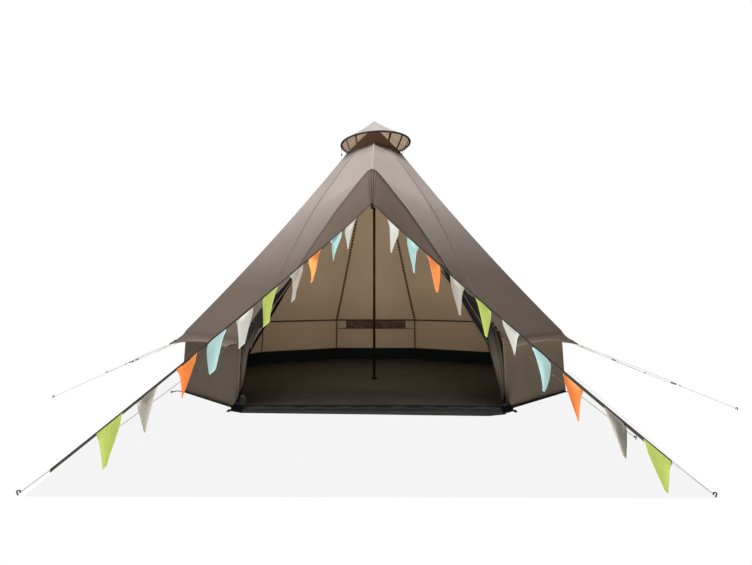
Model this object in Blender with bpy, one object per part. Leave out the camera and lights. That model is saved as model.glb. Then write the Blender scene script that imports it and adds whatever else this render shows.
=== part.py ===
"""Tipi tent: canvas roof and walls, groundsheet, centre pole, door A-frame, vent cap, guys and bunting.

Metres, +Z up. The door faces -Y and the foot of the centre pole is the origin.
"""

import math

import bmesh
import bpy
from mathutils import Vector

# Plan: eleven sides, of which the door takes the front two.
RADIUS = 2.15  # of the corners at the ground
SECTOR = 2.0 * math.pi / 11.0
CORNERS = 10  # from the right of the door round the back to its left
WALL_TOP_Z = 0.6236
WALL_LEAN = 0.02  # share of the radius lost at the top of the wall
FABRIC = 0.003
GAP = 0.0003  # between neighbours

# Roof
ROOF_DROP = 0.006  # height from the sheet's top face to its underside
RING_RADIUS, RING_Z = 0.31, 2.66
WALL_LINE_Z = WALL_TOP_Z + ROOF_DROP + GAP
SAG = 0.035
ROOF_ROWS = 8
ROOF_COLUMNS = 4
KINK_Z = 0.5745
TIP_SCALE, TIP_Z, FRONT_TIP_Z = 1.055, 0.49, 0.545
PANEL_SHRINK = 0.00015  # share by which each sheet is smaller than the space between its seams

# The front seams bulge over the door frame, as x, y at a height.
FRONT_SEAM = (
    (2.66, 0.1676, -0.2608),
    (2.30, 0.370, -0.562),
    (1.92, 0.572, -0.858),
    (1.40, 0.790, -1.205),
    (0.945, 0.952, -1.535),
    (WALL_LINE_Z, 1.1393, -1.7724),
)

# Hood over the door: ridge, the fold over the door frame, and the free edge.
RIDGE = ((0.0, -0.31, 2.69), (0.0, -0.75, 2.497), (0.0, -1.2, 2.299), (0.0, -1.612, 2.120))
FOLD = (
    (0.030, -1.612, 2.108),
    (0.067, -1.612, 2.072),
    (0.143, -1.613, 1.980),
    (0.232, -1.614, 1.865),
    (0.322, -1.616, 1.750),
    (0.425, -1.618, 1.602),
    (0.522, -1.621, 1.460),
    (0.596, -1.625, 1.350),
    (0.672, -1.630, 1.222),
)
FREE_EDGE = ((0.748, -1.612, 1.113), (0.838, -1.585, 1.016))
# Where the hood's rows meet the front seam: a roof row's number, or a height between two rows.
FRONT_SEAM_LEVELS = (0, 1, 2, 1.93, 1.90, 3, 1.80, 1.72, 4, 1.50, 5, 1.28, 1.19, 6, 1.03, 0.945)
HOOD_EDGE = (
    (0.030, -1.748, 1.762),
    (0.062, -1.742, 1.733),
    (0.135, -1.728, 1.662),
    (0.222, -1.712, 1.581),
    (0.310, -1.696, 1.503),
    (0.412, -1.678, 1.416),
    (0.510, -1.660, 1.338),
    (0.588, -1.646, 1.277),
)
HOOD_POINT = (0.0, -1.75, 1.773)
HOOD_DROP = 0.010

# Groundsheet
FLOOR_Z = 0.004
FLOOR_REACH = 0.004  # past the wall, as a welt
TUB_Z, SILL_Z = 0.184, 0.05
TAB_WIDTH, TAB_LENGTH = 0.03, 0.115
# The flap before the sill, from its right to its left, as x and y.
SILL_FLAP = (
    (1.100, -1.955),
    (0.930, -2.045),
    (0.450, -2.015),
    (0.0, -1.985),
    (-0.600, -1.955),
    (-1.090, -1.925),
)

# Poles
POLE_RADIUS, POLE_TOP = 0.014, 3.011
SLEEVE_RADIUS, SLEEVE_Z = 0.017, (0.72, 0.815)
FOOT_RADIUS, FOOT_HEIGHT = 0.032, 0.02
FRAME_RADIUS = 0.011
LEG_FOOT = (1.41, -1.462)
LEG_KNEE = (0.745, -1.543, 1.10)
CROWN = (
    (0.316, -1.590, 1.7350),
    (0.226, -1.596, 1.8500),
    (0.137, -1.599, 1.9610),
    (0.058, -1.600, 2.0580),
    (0.024, -1.600, 2.0880),
    (0.0, -1.600, 2.0970),
)

# Cap
CAP_TIP_Z, CAP_RADIUS, CAP_RIM_Z = 3.03, 0.40, 2.76
CAP_TILT, CAP_PITCH = math.radians(-3.4), math.radians(5.5)
CAP_RIBS = 12
HOOP_RADIUS = 0.0045

# Guys and bunting
GUY_RADIUS = 0.0025
# Each guy's peg, from the right of the door round the back, as its bearing from the front and its radius.
GUY_PEGS = (
    (32.6, 3.36), (59.8, 3.61), (98.1, 3.415), (130.9, 3.40), (163.6, 3.40),
    (-163.6, 3.40), (-130.9, 3.40), (-98.1, 3.415), (-67.2, 3.31), (-32.6, 3.36),
)
PEG_RADIUS, PEG_HEIGHT = 0.0035, 0.024
BUNTING_PEG = (1.70, -3.96)
BUNTING_TOP = (0.0113, -1.7625)
BUNTING_TOP_Z = 1.772
BUNTING_SAG = 0.022
RIBBON_HEIGHT, RIBBON_THICKNESS = 0.016, 0.003
RIBBON_SHARE = {1: 0.926, -1: 0.948}  # of the way to the peg, then a cord
FLAG_HALF_SHARE = 0.0272  # of that way, either side of a pennant's middle
# Where each pennant hangs, and where the wind holds its tip: outward, back and up from its top.
PENNANTS = {
    1: (
        (0.0998, -0.019, -0.058, -0.242),
        (0.1903, 0.009, 0.0, -0.251),
        (0.2735, 0.030, 0.0, -0.254),
        (0.3680, 0.018, 0.0, -0.253),
        (0.4573, 0.014, -0.050, -0.245),
        (0.5461, -0.007, -0.150, -0.190),
        (0.6307, 0.017, -0.082, -0.236),
        (0.7154, 0.034, 0.0, -0.264),
        (0.8077, 0.024, -0.104, -0.226),
        (0.8984, -0.045, -0.190, -0.160),
    ),
    -1: (
        (0.0932, 0.022, -0.100, -0.228),
        (0.1617, 0.018, -0.132, -0.212),
        (0.2473, 0.033, 0.114, -0.220),
        (0.3205, 0.015, -0.079, -0.237),
        (0.4113, 0.018, -0.075, -0.238),
        (0.4961, 0.019, -0.045, -0.245),
        (0.5767, 0.004, -0.101, -0.229),
        (0.6586, 0.001, -0.090, -0.233),
        (0.7516, 0.010, -0.030, -0.248),
        (0.8356, -0.030, -0.122, -0.216),
    ),
}


def clear_scene():
    for old in list(bpy.data.objects):
        bpy.data.objects.remove(old, do_unlink=True)
    for old in list(bpy.data.meshes):
        bpy.data.meshes.remove(old)


def make_material(name, colour, roughness, metallic=0.0):
    material = bpy.data.materials.new(name)
    material.use_nodes = True
    shader = material.node_tree.nodes["Principled BSDF"]
    shader.inputs["Base Color"].default_value = (*colour, 1.0)
    shader.inputs["Roughness"].default_value = roughness
    shader.inputs["Metallic"].default_value = metallic
    return material


def link(name, mesh):
    item = bpy.data.objects.new(name, mesh)
    bpy.context.scene.collection.objects.link(item)
    return item


def mesh_from(name, points, faces):
    """A welded mesh with its faces turned out."""
    mesh = bpy.data.meshes.new(name)
    body = bmesh.new()
    verts = [body.verts.new(point) for point in points]
    for face in faces:
        body.faces.new([verts[index] for index in face])
    bmesh.ops.recalc_face_normals(body, faces=body.faces)
    body.to_mesh(mesh)
    body.free()
    return mesh


def finish(item, material):
    item.data.materials.clear()
    item.data.materials.append(material)
    for face in item.data.polygons:
        face.use_smooth = False
    return item


def shrunk(points):
    """The points drawn in towards their middle, so that neighbours don't touch."""
    middle = sum(points, Vector()) / len(points)
    return [middle + (point - middle) * (1.0 - PANEL_SHRINK) for point in points]


def sheet(name, rows, offset, material, closed=False):
    """A sheet of cloth over rows of points. Its other face is offset by a vector or a function of the point."""
    shift = offset if callable(offset) else (lambda point: offset)
    points, index = [], {}

    def place(point, layer):
        key = (round(point[0], 6), round(point[1], 6), round(point[2], 6), layer)
        if key not in index:
            index[key] = len(points)
            points.append(Vector(point) + (shift(point) if layer else Vector()))
        return index[key]

    grid = [[[place(point, layer) for point in row] for row in rows] for layer in (0, 1)]
    columns = len(rows[0])
    spans = columns if closed else columns - 1
    faces = []

    def add(*corners):
        kept = []
        for corner in corners:
            if corner not in kept:
                kept.append(corner)
        if len(kept) > 2:
            faces.append(kept)

    for layer in (0, 1):
        for row in range(len(rows) - 1):
            for column in range(spans):
                after = (column + 1) % columns
                upper, lower = grid[layer][row], grid[layer][row + 1]
                corners = (upper[column], upper[after], lower[after], lower[column])
                add(*(corners if layer == 0 else corners[::-1]))
    for column in range(spans):
        after = (column + 1) % columns
        for row in (0, len(rows) - 1):
            add(grid[0][row][column], grid[0][row][after], grid[1][row][after], grid[1][row][column])
    if not closed:
        for row in range(len(rows) - 1):
            for column in (0, columns - 1):
                add(
                    grid[0][row][column],
                    grid[0][row + 1][column],
                    grid[1][row + 1][column],
                    grid[1][row][column],
                )
    # A side whose two points fell together has only a line left, which add has dropped.
    kept = {}
    for face in faces:
        kept.setdefault(tuple(sorted(face)), face)
    faces = list(kept.values())
    return finish(link(name, mesh_from(name, shrunk(points), faces)), material)


def loft(name, rings, material):
    """A closed body through rings of equally many points."""
    count = len(rings[0])
    points = [point for ring in rings for point in ring]
    faces = [list(range(count))[::-1], list(range(len(points) - count, len(points)))]
    for ring in range(len(rings) - 1):
        for step in range(count):
            after = (step + 1) % count
            low, high = ring * count, (ring + 1) * count
            faces.append([low + step, low + after, high + after, high + step])
    return finish(link(name, mesh_from(name, points, faces)), material)


def tube(name, points, radius, material, sides_level=1):
    """A round bar along straight stretches, from a bevelled curve with filled ends."""
    curve = bpy.data.curves.new(name, "CURVE")
    curve.dimensions = "3D"
    curve.bevel_depth = radius
    curve.bevel_resolution = sides_level
    curve.use_fill_caps = True
    spline = curve.splines.new("POLY")
    spline.points.add(len(points) - 1)
    for slot, point in zip(spline.points, points):
        slot.co = (*point, 1.0)
    carrier = bpy.data.objects.new(name + "_curve", curve)
    bpy.context.scene.collection.objects.link(carrier)
    graph = bpy.context.evaluated_depsgraph_get()
    mesh = bpy.data.meshes.new_from_object(carrier.evaluated_get(graph))
    bpy.data.objects.remove(carrier, do_unlink=True)
    bpy.data.curves.remove(curve)
    body = bmesh.new()
    body.from_mesh(mesh)
    bmesh.ops.remove_doubles(body, verts=body.verts, dist=0.00001)
    bmesh.ops.recalc_face_normals(body, faces=body.faces)
    body.to_mesh(mesh)
    body.free()
    return finish(link(name, mesh), material)


def cylinder(name, radius, low, high, place, material, sides=20):
    bpy.ops.mesh.primitive_cylinder_add(
        vertices=sides, radius=radius, depth=high - low, location=(place[0], place[1], (low + high) / 2.0)
    )
    item = bpy.context.object
    item.name = name
    return finish(item, material)


def block(name, size, place, material, turn=(0.0, 0.0, 0.0)):
    bpy.ops.mesh.primitive_cube_add(size=1.0, location=place, rotation=turn)
    item = bpy.context.object
    item.name = name
    item.scale = size
    return finish(item, material)


def combined(name, base, others, material, operation="UNION"):
    """One body from several by Boolean, the parts used up."""
    for other in others:
        step = base.modifiers.new("with_" + other.name, "BOOLEAN")
        step.operation = operation
        step.solver = "EXACT"
        step.object = other
    graph = bpy.context.evaluated_depsgraph_get()
    graph.update()
    result = base.evaluated_get(graph)
    mesh = bpy.data.meshes.new_from_object(result)
    mesh.transform(result.matrix_world)
    for used in [base, *others]:
        bpy.data.objects.remove(used, do_unlink=True)
    body = bmesh.new()
    body.from_mesh(mesh)
    bmesh.ops.remove_doubles(body, verts=body.verts, dist=0.00002)
    bmesh.ops.dissolve_degenerate(body, edges=body.edges, dist=0.00002)
    body.to_mesh(mesh)
    body.free()
    mesh.name = name
    return finish(link(name, mesh), material)


def angle_of(corner):
    return SECTOR * (corner + 1)


def on_ray(corner, radius, height):
    angle = angle_of(corner)
    return Vector((radius * math.sin(angle), -radius * math.cos(angle), height))


def mirrored(point):
    return Vector((-point[0], point[1], point[2]))


def along(table, height):
    """x and y of a smooth curve through rows of height, x, y at a height."""
    for first in range(len(table) - 1):
        if height >= table[first + 1][0] or first == len(table) - 2:
            break
    before = table[max(first - 1, 0)]
    start, end = table[first], table[first + 1]
    beyond = table[min(first + 2, len(table) - 1)]
    share = (height - start[0]) / (end[0] - start[0])
    result = []
    for axis in (1, 2):
        slope_in = (end[axis] - before[axis]) / (end[0] - before[0]) * (end[0] - start[0])
        slope_out = (beyond[axis] - start[axis]) / (beyond[0] - start[0]) * (end[0] - start[0])
        result.append(
            start[axis] * (2 * share**3 - 3 * share**2 + 1)
            + slope_in * (share**3 - 2 * share**2 + share)
            + end[axis] * (3 * share**2 - 2 * share**3)
            + slope_out * (share**3 - share**2)
        )
    return result


def wall_radius(height):
    return RADIUS * (1.0 - WALL_LEAN * height / WALL_TOP_Z)


def seam(corner):
    """The roof's seam at a corner, from the ring under the cap to the tip that the guy pulls."""
    front = corner in (0, CORNERS - 1)
    low_radius = wall_radius(WALL_TOP_Z)
    run, fall = low_radius - RING_RADIUS, WALL_LINE_Z - RING_Z
    length = math.hypot(run, fall)
    points = []
    for row in range(ROOF_ROWS + 1):
        share = row / ROOF_ROWS
        dip = SAG * 4.0 * share * (1.0 - share)
        radius = RING_RADIUS + run * share + dip * fall / length
        height = RING_Z + fall * share - dip * run / length
        if front:
            x, y = along(FRONT_SEAM, height)
            points.append(Vector((x if corner == 0 else -x, y, height)))
        else:
            points.append(on_ray(corner, radius, height))
    points.append(on_ray(corner, RADIUS, KINK_Z))
    points.append(on_ray(corner, RADIUS * TIP_SCALE, FRONT_TIP_Z if front else TIP_Z))
    return points


def roof_panel(name, corner, material):
    left, right = seam(corner), seam(corner + 1)
    rows = []
    for row, (start, end) in enumerate(zip(left, right)):
        points = []
        for column in range(ROOF_COLUMNS + 1):
            share = column / ROOF_COLUMNS
            point = start.lerp(end, share)
            if row == len(left) - 1:
                above = left[-2].lerp(right[-2], share)
                point = point.lerp(above, 0.42 * 4.0 * share * (1.0 - share))
            points.append(point)
        rows.append(points)
    return sheet(name, rows, Vector((0.0, 0.0, -ROOF_DROP)), material)


def front_seam_at(level, knots):
    """A point of the right front seam, straight between the roof's rows."""
    if isinstance(level, int):
        return knots[level]
    row = max(number for number, knot in enumerate(knots) if knot.z >= level)
    share = (knots[row].z - level) / (knots[row].z - knots[row + 1].z)
    return knots[row].lerp(knots[row + 1], share)


def hood_side(name, side, material):
    border = [Vector(point) for point in (*RIDGE, *FOLD, *FREE_EDGE)]
    knots = seam(0)[: ROOF_ROWS + 1]
    rows = []
    for level, outer in zip(FRONT_SEAM_LEVELS, border + [None]):
        inner = front_seam_at(level, knots)
        outer = inner if outer is None else outer
        rows.append([inner.lerp(outer, share / 3.0) for share in range(4)])
    if side < 0:
        rows = [[mirrored(point) for point in row] for row in rows]
    return sheet(name, rows, Vector((0.0, 0.0, -ROOF_DROP)), material)


def hood_header(name, material):
    right_fold = [Vector(point) for point in FOLD]
    right_edge = [Vector(point) for point in HOOD_EDGE] + [Vector(FOLD[-1])]
    fold = [mirrored(point) for point in right_fold[::-1]] + [Vector(RIDGE[-1])] + right_fold
    edge = [mirrored(point) for point in right_edge[::-1]] + [Vector(HOOD_POINT)] + right_edge
    rows = [[top.lerp(low, share / 3.0) for top, low in zip(fold, edge)] for share in range(4)]
    return sheet(name, rows, Vector((0.0, 0.0, -HOOD_DROP)), material)


def wall(name, corner, material):
    inset = FABRIC / math.cos(SECTOR / 2.0)
    rows = []
    for height in (WALL_TOP_Z, FLOOR_Z + GAP):
        radius = wall_radius(height)
        rows.append([on_ray(corner, radius, height), on_ray(corner + 1, radius, height)])

    def inward(point):
        flat = Vector((point[0], point[1], 0.0))
        return -flat.normalized() * inset

    return sheet(name, rows, inward, material)


def groundsheet(name, material):
    """The floor, which shows as a welt round the walls, with a pegging tab at each corner."""
    outline = []
    reach = RADIUS + FLOOR_REACH
    for corner in range(CORNERS):
        here = on_ray(corner, reach, 0.0)
        before = on_ray(corner - 1, reach, 0.0) if corner else on_ray(CORNERS - 1, reach, 0.0)
        after = on_ray(corner + 1, reach, 0.0) if corner < CORNERS - 1 else on_ray(0, reach, 0.0)
        out = here.normalized()
        across = Vector((-out.y, out.x, 0.0)) * TAB_WIDTH / 2.0
        back = here + (before - here).normalized() * TAB_WIDTH / 2.0
        ahead = here + (after - here).normalized() * TAB_WIDTH / 2.0
        outline += [back, here + out * TAB_LENGTH - across, here + out * TAB_LENGTH + across, ahead]
    outline += [Vector((x, y, 0.0)) for x, y in SILL_FLAP[::-1]]
    top = [point + Vector((0.0, 0.0, FLOOR_Z)) for point in outline]
    base = loft(name + "_sheet", [outline, top], material)
    pegs = []
    for corner in range(CORNERS):
        place = on_ray(corner, RADIUS + TAB_LENGTH * 0.82, 0.0)
        pegs.append(cylinder(f"tab_peg_{corner}", 0.006, 0.0, 0.018, place, material, 10))
    return combined(name, base, pegs, material)


def bathtub(name, material):
    """The groundsheet's upstand inside the walls, low along the sill of the door."""
    inset = FABRIC / math.cos(SECTOR / 2.0)
    stops = [(on_ray(corner, 1.0, 0.0), TUB_Z) for corner in range(CORNERS)]
    left, right = stops[-1][0], stops[0][0]
    stops.append((left.lerp(right, 0.055), SILL_Z))
    stops.append((left.lerp(right, 0.945), SILL_Z))
    rows = []
    for level in (1.0, 0.0):
        row = []
        for direction, top in stops:
            height = FLOOR_Z + GAP + (top - FLOOR_Z - GAP) * level
            flat = direction * (wall_radius(height) - inset - GAP)
            row.append(Vector((flat.x, flat.y, height)))
        rows.append(row)

    def inward(point):
        flat = Vector((point[0], point[1], 0.0))
        return -flat * (inset / RADIUS)

    return sheet(name, rows, inward, material, closed=True)


def centre_pole(material):
    pole = cylinder("pole_shaft", POLE_RADIUS, FLOOR_Z + GAP, POLE_TOP, (0.0, 0.0), material, 20)
    sleeve = cylinder("pole_sleeve", SLEEVE_RADIUS, *SLEEVE_Z, (0.0, 0.0), material, 20)
    base = FLOOR_Z + GAP
    foot = cylinder("pole_foot", FOOT_RADIUS, base, base + FOOT_HEIGHT, (0.0, 0.0), material, 20)
    return combined("centre_pole", pole, [sleeve, foot], material)


def leg_line():
    """The right leg's foot, its joint with the crown and its direction there."""
    foot = Vector((LEG_FOOT[0], LEG_FOOT[1], FLOOR_Z + GAP))
    direction = (Vector(CROWN[0]) - Vector(LEG_KNEE)).normalized()
    return foot, Vector(CROWN[0]) - direction * 0.03, direction


def door_frame_leg(name, side, material):
    foot, top, direction = leg_line()
    knee = Vector(LEG_KNEE)
    top -= direction * GAP
    foot += (knee - foot).normalized() * 0.009
    points = [foot, knee, top]
    shoe = [(LEG_FOOT[0], LEG_FOOT[1], FLOOR_Z + GAP), (LEG_FOOT[0], LEG_FOOT[1], FLOOR_Z + GAP + 0.03)]
    if side < 0:
        points = [mirrored(point) for point in points]
        shoe = [mirrored(point) for point in shoe]
    bar = tube(name + "_bar", points, FRAME_RADIUS, material, 3)
    pad = cylinder(name + "_pad", 0.016, shoe[0][2], shoe[1][2], shoe[0], material, 16)
    return combined(name, bar, [pad], material)


def door_frame_crown(name, material):
    right = [leg_line()[1]] + [Vector(point) for point in CROWN]
    points = [mirrored(point) for point in right[:-1]] + right[::-1]
    return tube(name, points, FRAME_RADIUS, material, 3)


def tilted(point):
    """Turned about the tip of the cap, its left side down and its front up."""
    drop = point[2] - CAP_TIP_Z
    across = point[0] * math.cos(CAP_TILT) + drop * math.sin(CAP_TILT)
    drop = drop * math.cos(CAP_TILT) - point[0] * math.sin(CAP_TILT)
    along = point[1] * math.cos(CAP_PITCH) + drop * math.sin(CAP_PITCH)
    drop = drop * math.cos(CAP_PITCH) - point[1] * math.sin(CAP_PITCH)
    return Vector((across, along, CAP_TIP_Z + drop))


def vent_cap(name, material):
    rows = []
    for share in (0.0, 0.25, 0.5, 0.75, 1.0):
        radius = CAP_RADIUS * share
        height = CAP_TIP_Z + (CAP_RIM_Z - CAP_TIP_Z) * share - 0.012 * 4.0 * share * (1.0 - share)
        rows.append(
            [
                tilted((radius * math.sin(turn), -radius * math.cos(turn), height))
                for turn in [2.0 * math.pi * step / 24.0 for step in range(24)]
            ]
        )
    return sheet(name, rows, Vector((0.0, 0.0, -0.005)), material, closed=True)


def cap_hoop(name, material):
    """The hoop that spreads the cap, with ribs to a hub round the pole's tip."""
    drop = 0.005 + GAP + HOOP_RADIUS
    ring = []
    for step in range(36):
        turn = 2.0 * math.pi * step / 36.0
        ring.append((turn, (CAP_RADIUS - 0.006) * math.sin(turn), -(CAP_RADIUS - 0.006) * math.cos(turn)))
    rim_z = CAP_RIM_Z - drop - 0.0015
    circle = [Vector((x, y, rim_z)) for _, x, y in ring]
    rings = []
    for step, point in enumerate(circle):
        out = Vector((point.x, point.y, 0.0)).normalized()
        section = []
        for side in range(8):
            turn = math.pi / 4.0 * side
            section.append(point + HOOP_RADIUS * (out * math.cos(turn) + Vector((0.0, 0.0, math.sin(turn)))))
        rings.append(section)
    faces, points = [], [tilted(point) for section in rings for point in section]
    for step in range(36):
        after = (step + 1) % 36
        for k in range(8):
            beside = (k + 1) % 8
            faces.append([step * 8 + k, step * 8 + beside, after * 8 + beside, after * 8 + k])
    hoop = finish(link(name + "_ring", mesh_from(name, points, faces)), material)
    ribs = []
    for rib in range(CAP_RIBS):
        turn = 2.0 * math.pi * (rib + 0.5) / CAP_RIBS
        ends = []
        for radius, share in ((0.030, 0.075), (0.2, 0.5), (CAP_RADIUS - 0.006, 0.985)):
            height = CAP_TIP_Z + (CAP_RIM_Z - CAP_TIP_Z) * share - 0.048 * share * (1.0 - share)
            height -= drop + 0.0024
            ends.append(tilted((radius * math.sin(turn), -radius * math.cos(turn), height)))
        ribs.append(tube(f"rib_{rib}", ends, 0.0035, material, 1))
    hub_ring = []
    for radius, height in ((0.034, 2.981), (0.034, 2.992), (0.0185, 2.992), (0.0185, 2.981)):
        section = []
        for step in range(24):
            turn = 2.0 * math.pi * step / 24.0
            x, y = radius * math.sin(turn), -radius * math.cos(turn)
            lean = x * math.sin(CAP_TILT) + y * math.sin(CAP_PITCH)
            section.append(Vector((x, y, height - lean)))
        hub_ring.append(section)
    faces, points = [], [point for section in hub_ring for point in section]
    for step in range(4):
        after = (step + 1) % 4
        for k in range(24):
            beside = (k + 1) % 24
            faces.append([step * 24 + k, step * 24 + beside, after * 24 + beside, after * 24 + k])
    hub = finish(link(name + "_hub", mesh_from(name, points, faces)), material)
    return combined(name, hub, [*ribs, hoop], material)


def vent_collar(name, material):
    """The mesh between the top of the roof and the pole."""
    base = [Vector(RIDGE[0])] + [seam(corner)[0] for corner in range(CORNERS)]
    top = []
    for point in base:
        flat = Vector((point.x, point.y, 0.0)).normalized()
        top.append(Vector((flat.x * 0.0165, flat.y * 0.0165, 2.955)))
    rows = [[high.lerp(low, share) for high, low in zip(top, base)] for share in (0.0, 0.5, 1.0)]
    return sheet(name, rows, Vector((0.0, 0.0, -0.004)), material, closed=True)


def door_roll(name, side, material):
    """The door's fabric gathered back and hung between the hood and the sill."""
    stations = (
        # x, y, z, half width, half depth
        (0.705, -1.590, 1.140, 0.008, 0.008),
        (0.752, -1.597, 1.080, 0.014, 0.014),
        (0.806, -1.603, 1.016, 0.018, 0.018),
        (0.898, -1.608, 0.940, 0.026, 0.030),
        (0.952, -1.618, 0.850, 0.034, 0.038),
        (1.040, -1.638, 0.700, 0.046, 0.045),
        (1.118, -1.672, 0.500, 0.036, 0.045),
        (1.142, -1.712, 0.300, 0.027, 0.040),
        (1.156, -1.742, 0.120, 0.021, 0.033),
        (1.157, -1.746, FLOOR_Z + GAP, 0.019, 0.029),
    )
    rings = []
    for x, y, z, wide, deep in stations:
        ring = []
        for step in range(16):
            turn = 2.0 * math.pi * step / 16.0
            ripple = 1.0 + 0.06 * math.cos(5.0 * turn)
            across, depth = wide * ripple * math.cos(turn), deep * ripple * math.sin(turn)
            ring.append(Vector((side * (x + across), y + depth, z)))
        rings.append(ring)
    return loft(name, rings, material)


def peg_parts(name, place, toward, material):
    """A hooked peg's top above the ground, leaning away from the pull."""
    lean = Vector((toward.x, toward.y, 0.0)).normalized()
    low = Vector((place.x, place.y, 0.0)) - lean * 0.004
    high = low - lean * 0.006 + Vector((0.0, 0.0, PEG_HEIGHT))
    hook = high + lean * 0.016 + Vector((0.0, 0.0, 0.001))
    tip = hook + Vector((0.0, 0.0, -0.010))
    stem = tube(name + "_peg", [low + Vector((0, 0, 0.0012)), high, hook, tip], PEG_RADIUS, material, 1)
    return [stem]


def guy(name, corner, material):
    tip = seam(corner)[-1]
    bearing, reach = math.radians(GUY_PEGS[corner][0]), GUY_PEGS[corner][1]
    peg = Vector((reach * math.sin(bearing), -reach * math.cos(bearing), 0.0))
    start = tip + on_ray(corner, 0.0019, -0.0078)
    end = peg + Vector((0.0, 0.0, 0.014))
    direction = (end - start).normalized()
    line = tube(name + "_line", [start, end + direction * 0.012], GUY_RADIUS, material, 0)
    slider_place = start.lerp(end, 0.62)
    pitch = math.asin(-direction.z)
    turn = (0.0, pitch, math.atan2(direction.y, direction.x))
    slider = block(name + "_slider", (0.045, 0.016, 0.009), slider_place, material, turn)
    keeper = block(name + "_keeper", (0.016, 0.014, 0.012), start + direction * 0.006, material, turn)
    return combined(name, line, [slider, keeper, *peg_parts(name, peg, -direction, material)], material)


def bunting_point(share, side):
    start, end = Vector((*BUNTING_TOP, BUNTING_TOP_Z)), Vector((*BUNTING_PEG, 0.012))
    point = start.lerp(end, share)
    point.z -= BUNTING_SAG * 4.0 * share * (1.0 - share)
    return Vector((side * point.x, point.y, point.z))


def bunting(name, side, material):
    """A ribbon pegged out from the hood with ten pennants, its last stretch a cord."""
    stretch = 24
    last = RIBBON_SHARE[side]
    rows = []
    for step in range(stretch + 1):
        point = bunting_point(last * step / stretch, side)
        rows.append([point, point - Vector((0.0, 0.0, RIBBON_HEIGHT))])
    way = bunting_point(1.0, side) - bunting_point(0.0, side)
    normal = Vector((-way.y, way.x, 0.0)).normalized() * RIBBON_THICKNESS * side
    ribbon = sheet(name + "_ribbon", rows, normal, material)
    middle = normal / 2.0 - Vector((0.0, 0.0, RIBBON_HEIGHT / 2.0))
    cord_end = bunting_point(1.0, side) + way.normalized() * 0.009
    cord = tube(name + "_cord", [bunting_point(last - 0.004, side) + middle, cord_end], GUY_RADIUS, material, 0)
    pieces = [cord]
    seat = normal * 0.1 - Vector((0.0, 0.0, RIBBON_HEIGHT * 0.5))
    for number, (share, out, back, up) in enumerate(PENNANTS[side]):
        start = bunting_point(share - FLAG_HALF_SHARE, side) + seat
        end = bunting_point(share + FLAG_HALF_SHARE, side) + seat
        tip = start.lerp(end, 0.5) + Vector((side * out, back, up))
        flag_rows = []
        swing = normal.normalized() * (0.012 if number % 3 else -0.012)
        for row in (0.0, 0.3, 0.6, 0.85, 1.0):
            curl = swing * math.sin(math.pi * row)
            flag_rows.append([start.lerp(tip, 0.985 * row) + curl, end.lerp(tip, 0.985 * row) + curl])
        pieces.append(sheet(f"{name}_pennant_{number}", flag_rows, normal * 0.8, material))
    pieces += peg_parts(name, bunting_point(1.0, side), Vector((-way.x, -way.y, 0.0)), material)
    return combined(name, ribbon, pieces, material)


def rear_window(wall_item, name, material, wall_material):
    """The vent in the back wall: an opening under the roof's seam, closed by a panel of mesh."""
    low, high, half = 0.482, 0.612, 0.45
    y_low = wall_radius(low) * math.cos(SECTOR / 2.0)
    y_high = wall_radius(high) * math.cos(SECTOR / 2.0)
    middle = (0.0, (y_low + y_high) / 2.0, (low + high) / 2.0)
    cutter = block("window_cutter", (2 * half, 0.1, high - low), middle, material)
    back = combined("wall_back", wall_item, [cutter], wall_material, "DIFFERENCE")
    rows = []
    for height, depth in ((high - GAP, y_high), (low + GAP, y_low)):
        rows.append([Vector((half - GAP, depth, height)), Vector((-half + GAP, depth, height))])
    return back, sheet(name, rows, Vector((0.0, -FABRIC, 0.0)), material)


clear_scene()
canvas = make_material("roof_canvas", (0.36, 0.31, 0.26), 0.9)
wall_canvas = make_material("wall_canvas", (0.25, 0.20, 0.15), 0.9)
light_canvas = make_material("cap_canvas", (0.55, 0.50, 0.46), 0.85)
sheeting = make_material("groundsheet_vinyl", (0.02, 0.02, 0.02), 0.6)
steel = make_material("dark_steel", (0.03, 0.03, 0.03), 0.4, 0.9)
netting = make_material("netting", (0.06, 0.04, 0.03), 0.9)
door_cloth = make_material("door_cloth", (0.20, 0.14, 0.09), 0.9)
rope = make_material("guy_rope", (0.55, 0.53, 0.48), 0.8)
bunting_cloth = make_material("bunting_cloth", (0.6, 0.6, 0.55), 0.8)
black_plastic = make_material("black_plastic", (0.02, 0.02, 0.02), 0.5)

PANEL_NAMES = (
    "right_front", "right_side", "right_rear_side", "right_back", "back",
    "left_back", "left_rear_side", "left_side", "left_front",
)
for number, place_name in enumerate(PANEL_NAMES):
    roof_panel("roof_" + place_name, number, canvas)
    panel = wall("wall_" + place_name, number, wall_canvas)
    if place_name == "back":
        rear_window(panel, "rear_vent", netting, wall_canvas)
hood_side("hood_right", 1, canvas)
hood_side("hood_left", -1, canvas)
hood_header("hood_header", canvas)
groundsheet("groundsheet", sheeting)
bathtub("bathtub_wall", sheeting)
centre_pole(steel)
door_frame_leg("door_frame_right_leg", 1, steel)
door_frame_leg("door_frame_left_leg", -1, steel)
door_frame_crown("door_frame_crown", steel)
vent_cap("vent_cap", light_canvas)
cap_hoop("cap_hoop", black_plastic)
vent_collar("vent_collar", netting)
door_roll("door_roll_right", 1, door_cloth)
door_roll("door_roll_left", -1, door_cloth)
GUY_NAMES = (
    "right_door", "right_front", "right_side", "right_rear_side", "right_back",
    "left_back", "left_rear_side", "left_side", "left_front", "left_door",
)
for number, place_name in enumerate(GUY_NAMES):
    guy("guy_" + place_name, number, rope)
bunting("bunting_right", 1, bunting_cloth)
bunting("bunting_left", -1, bunting_cloth)
cylinder("hood_toggle", 0.011, 1.735, 1.790, (0.0, -1.7615), black_plastic, 14)
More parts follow.
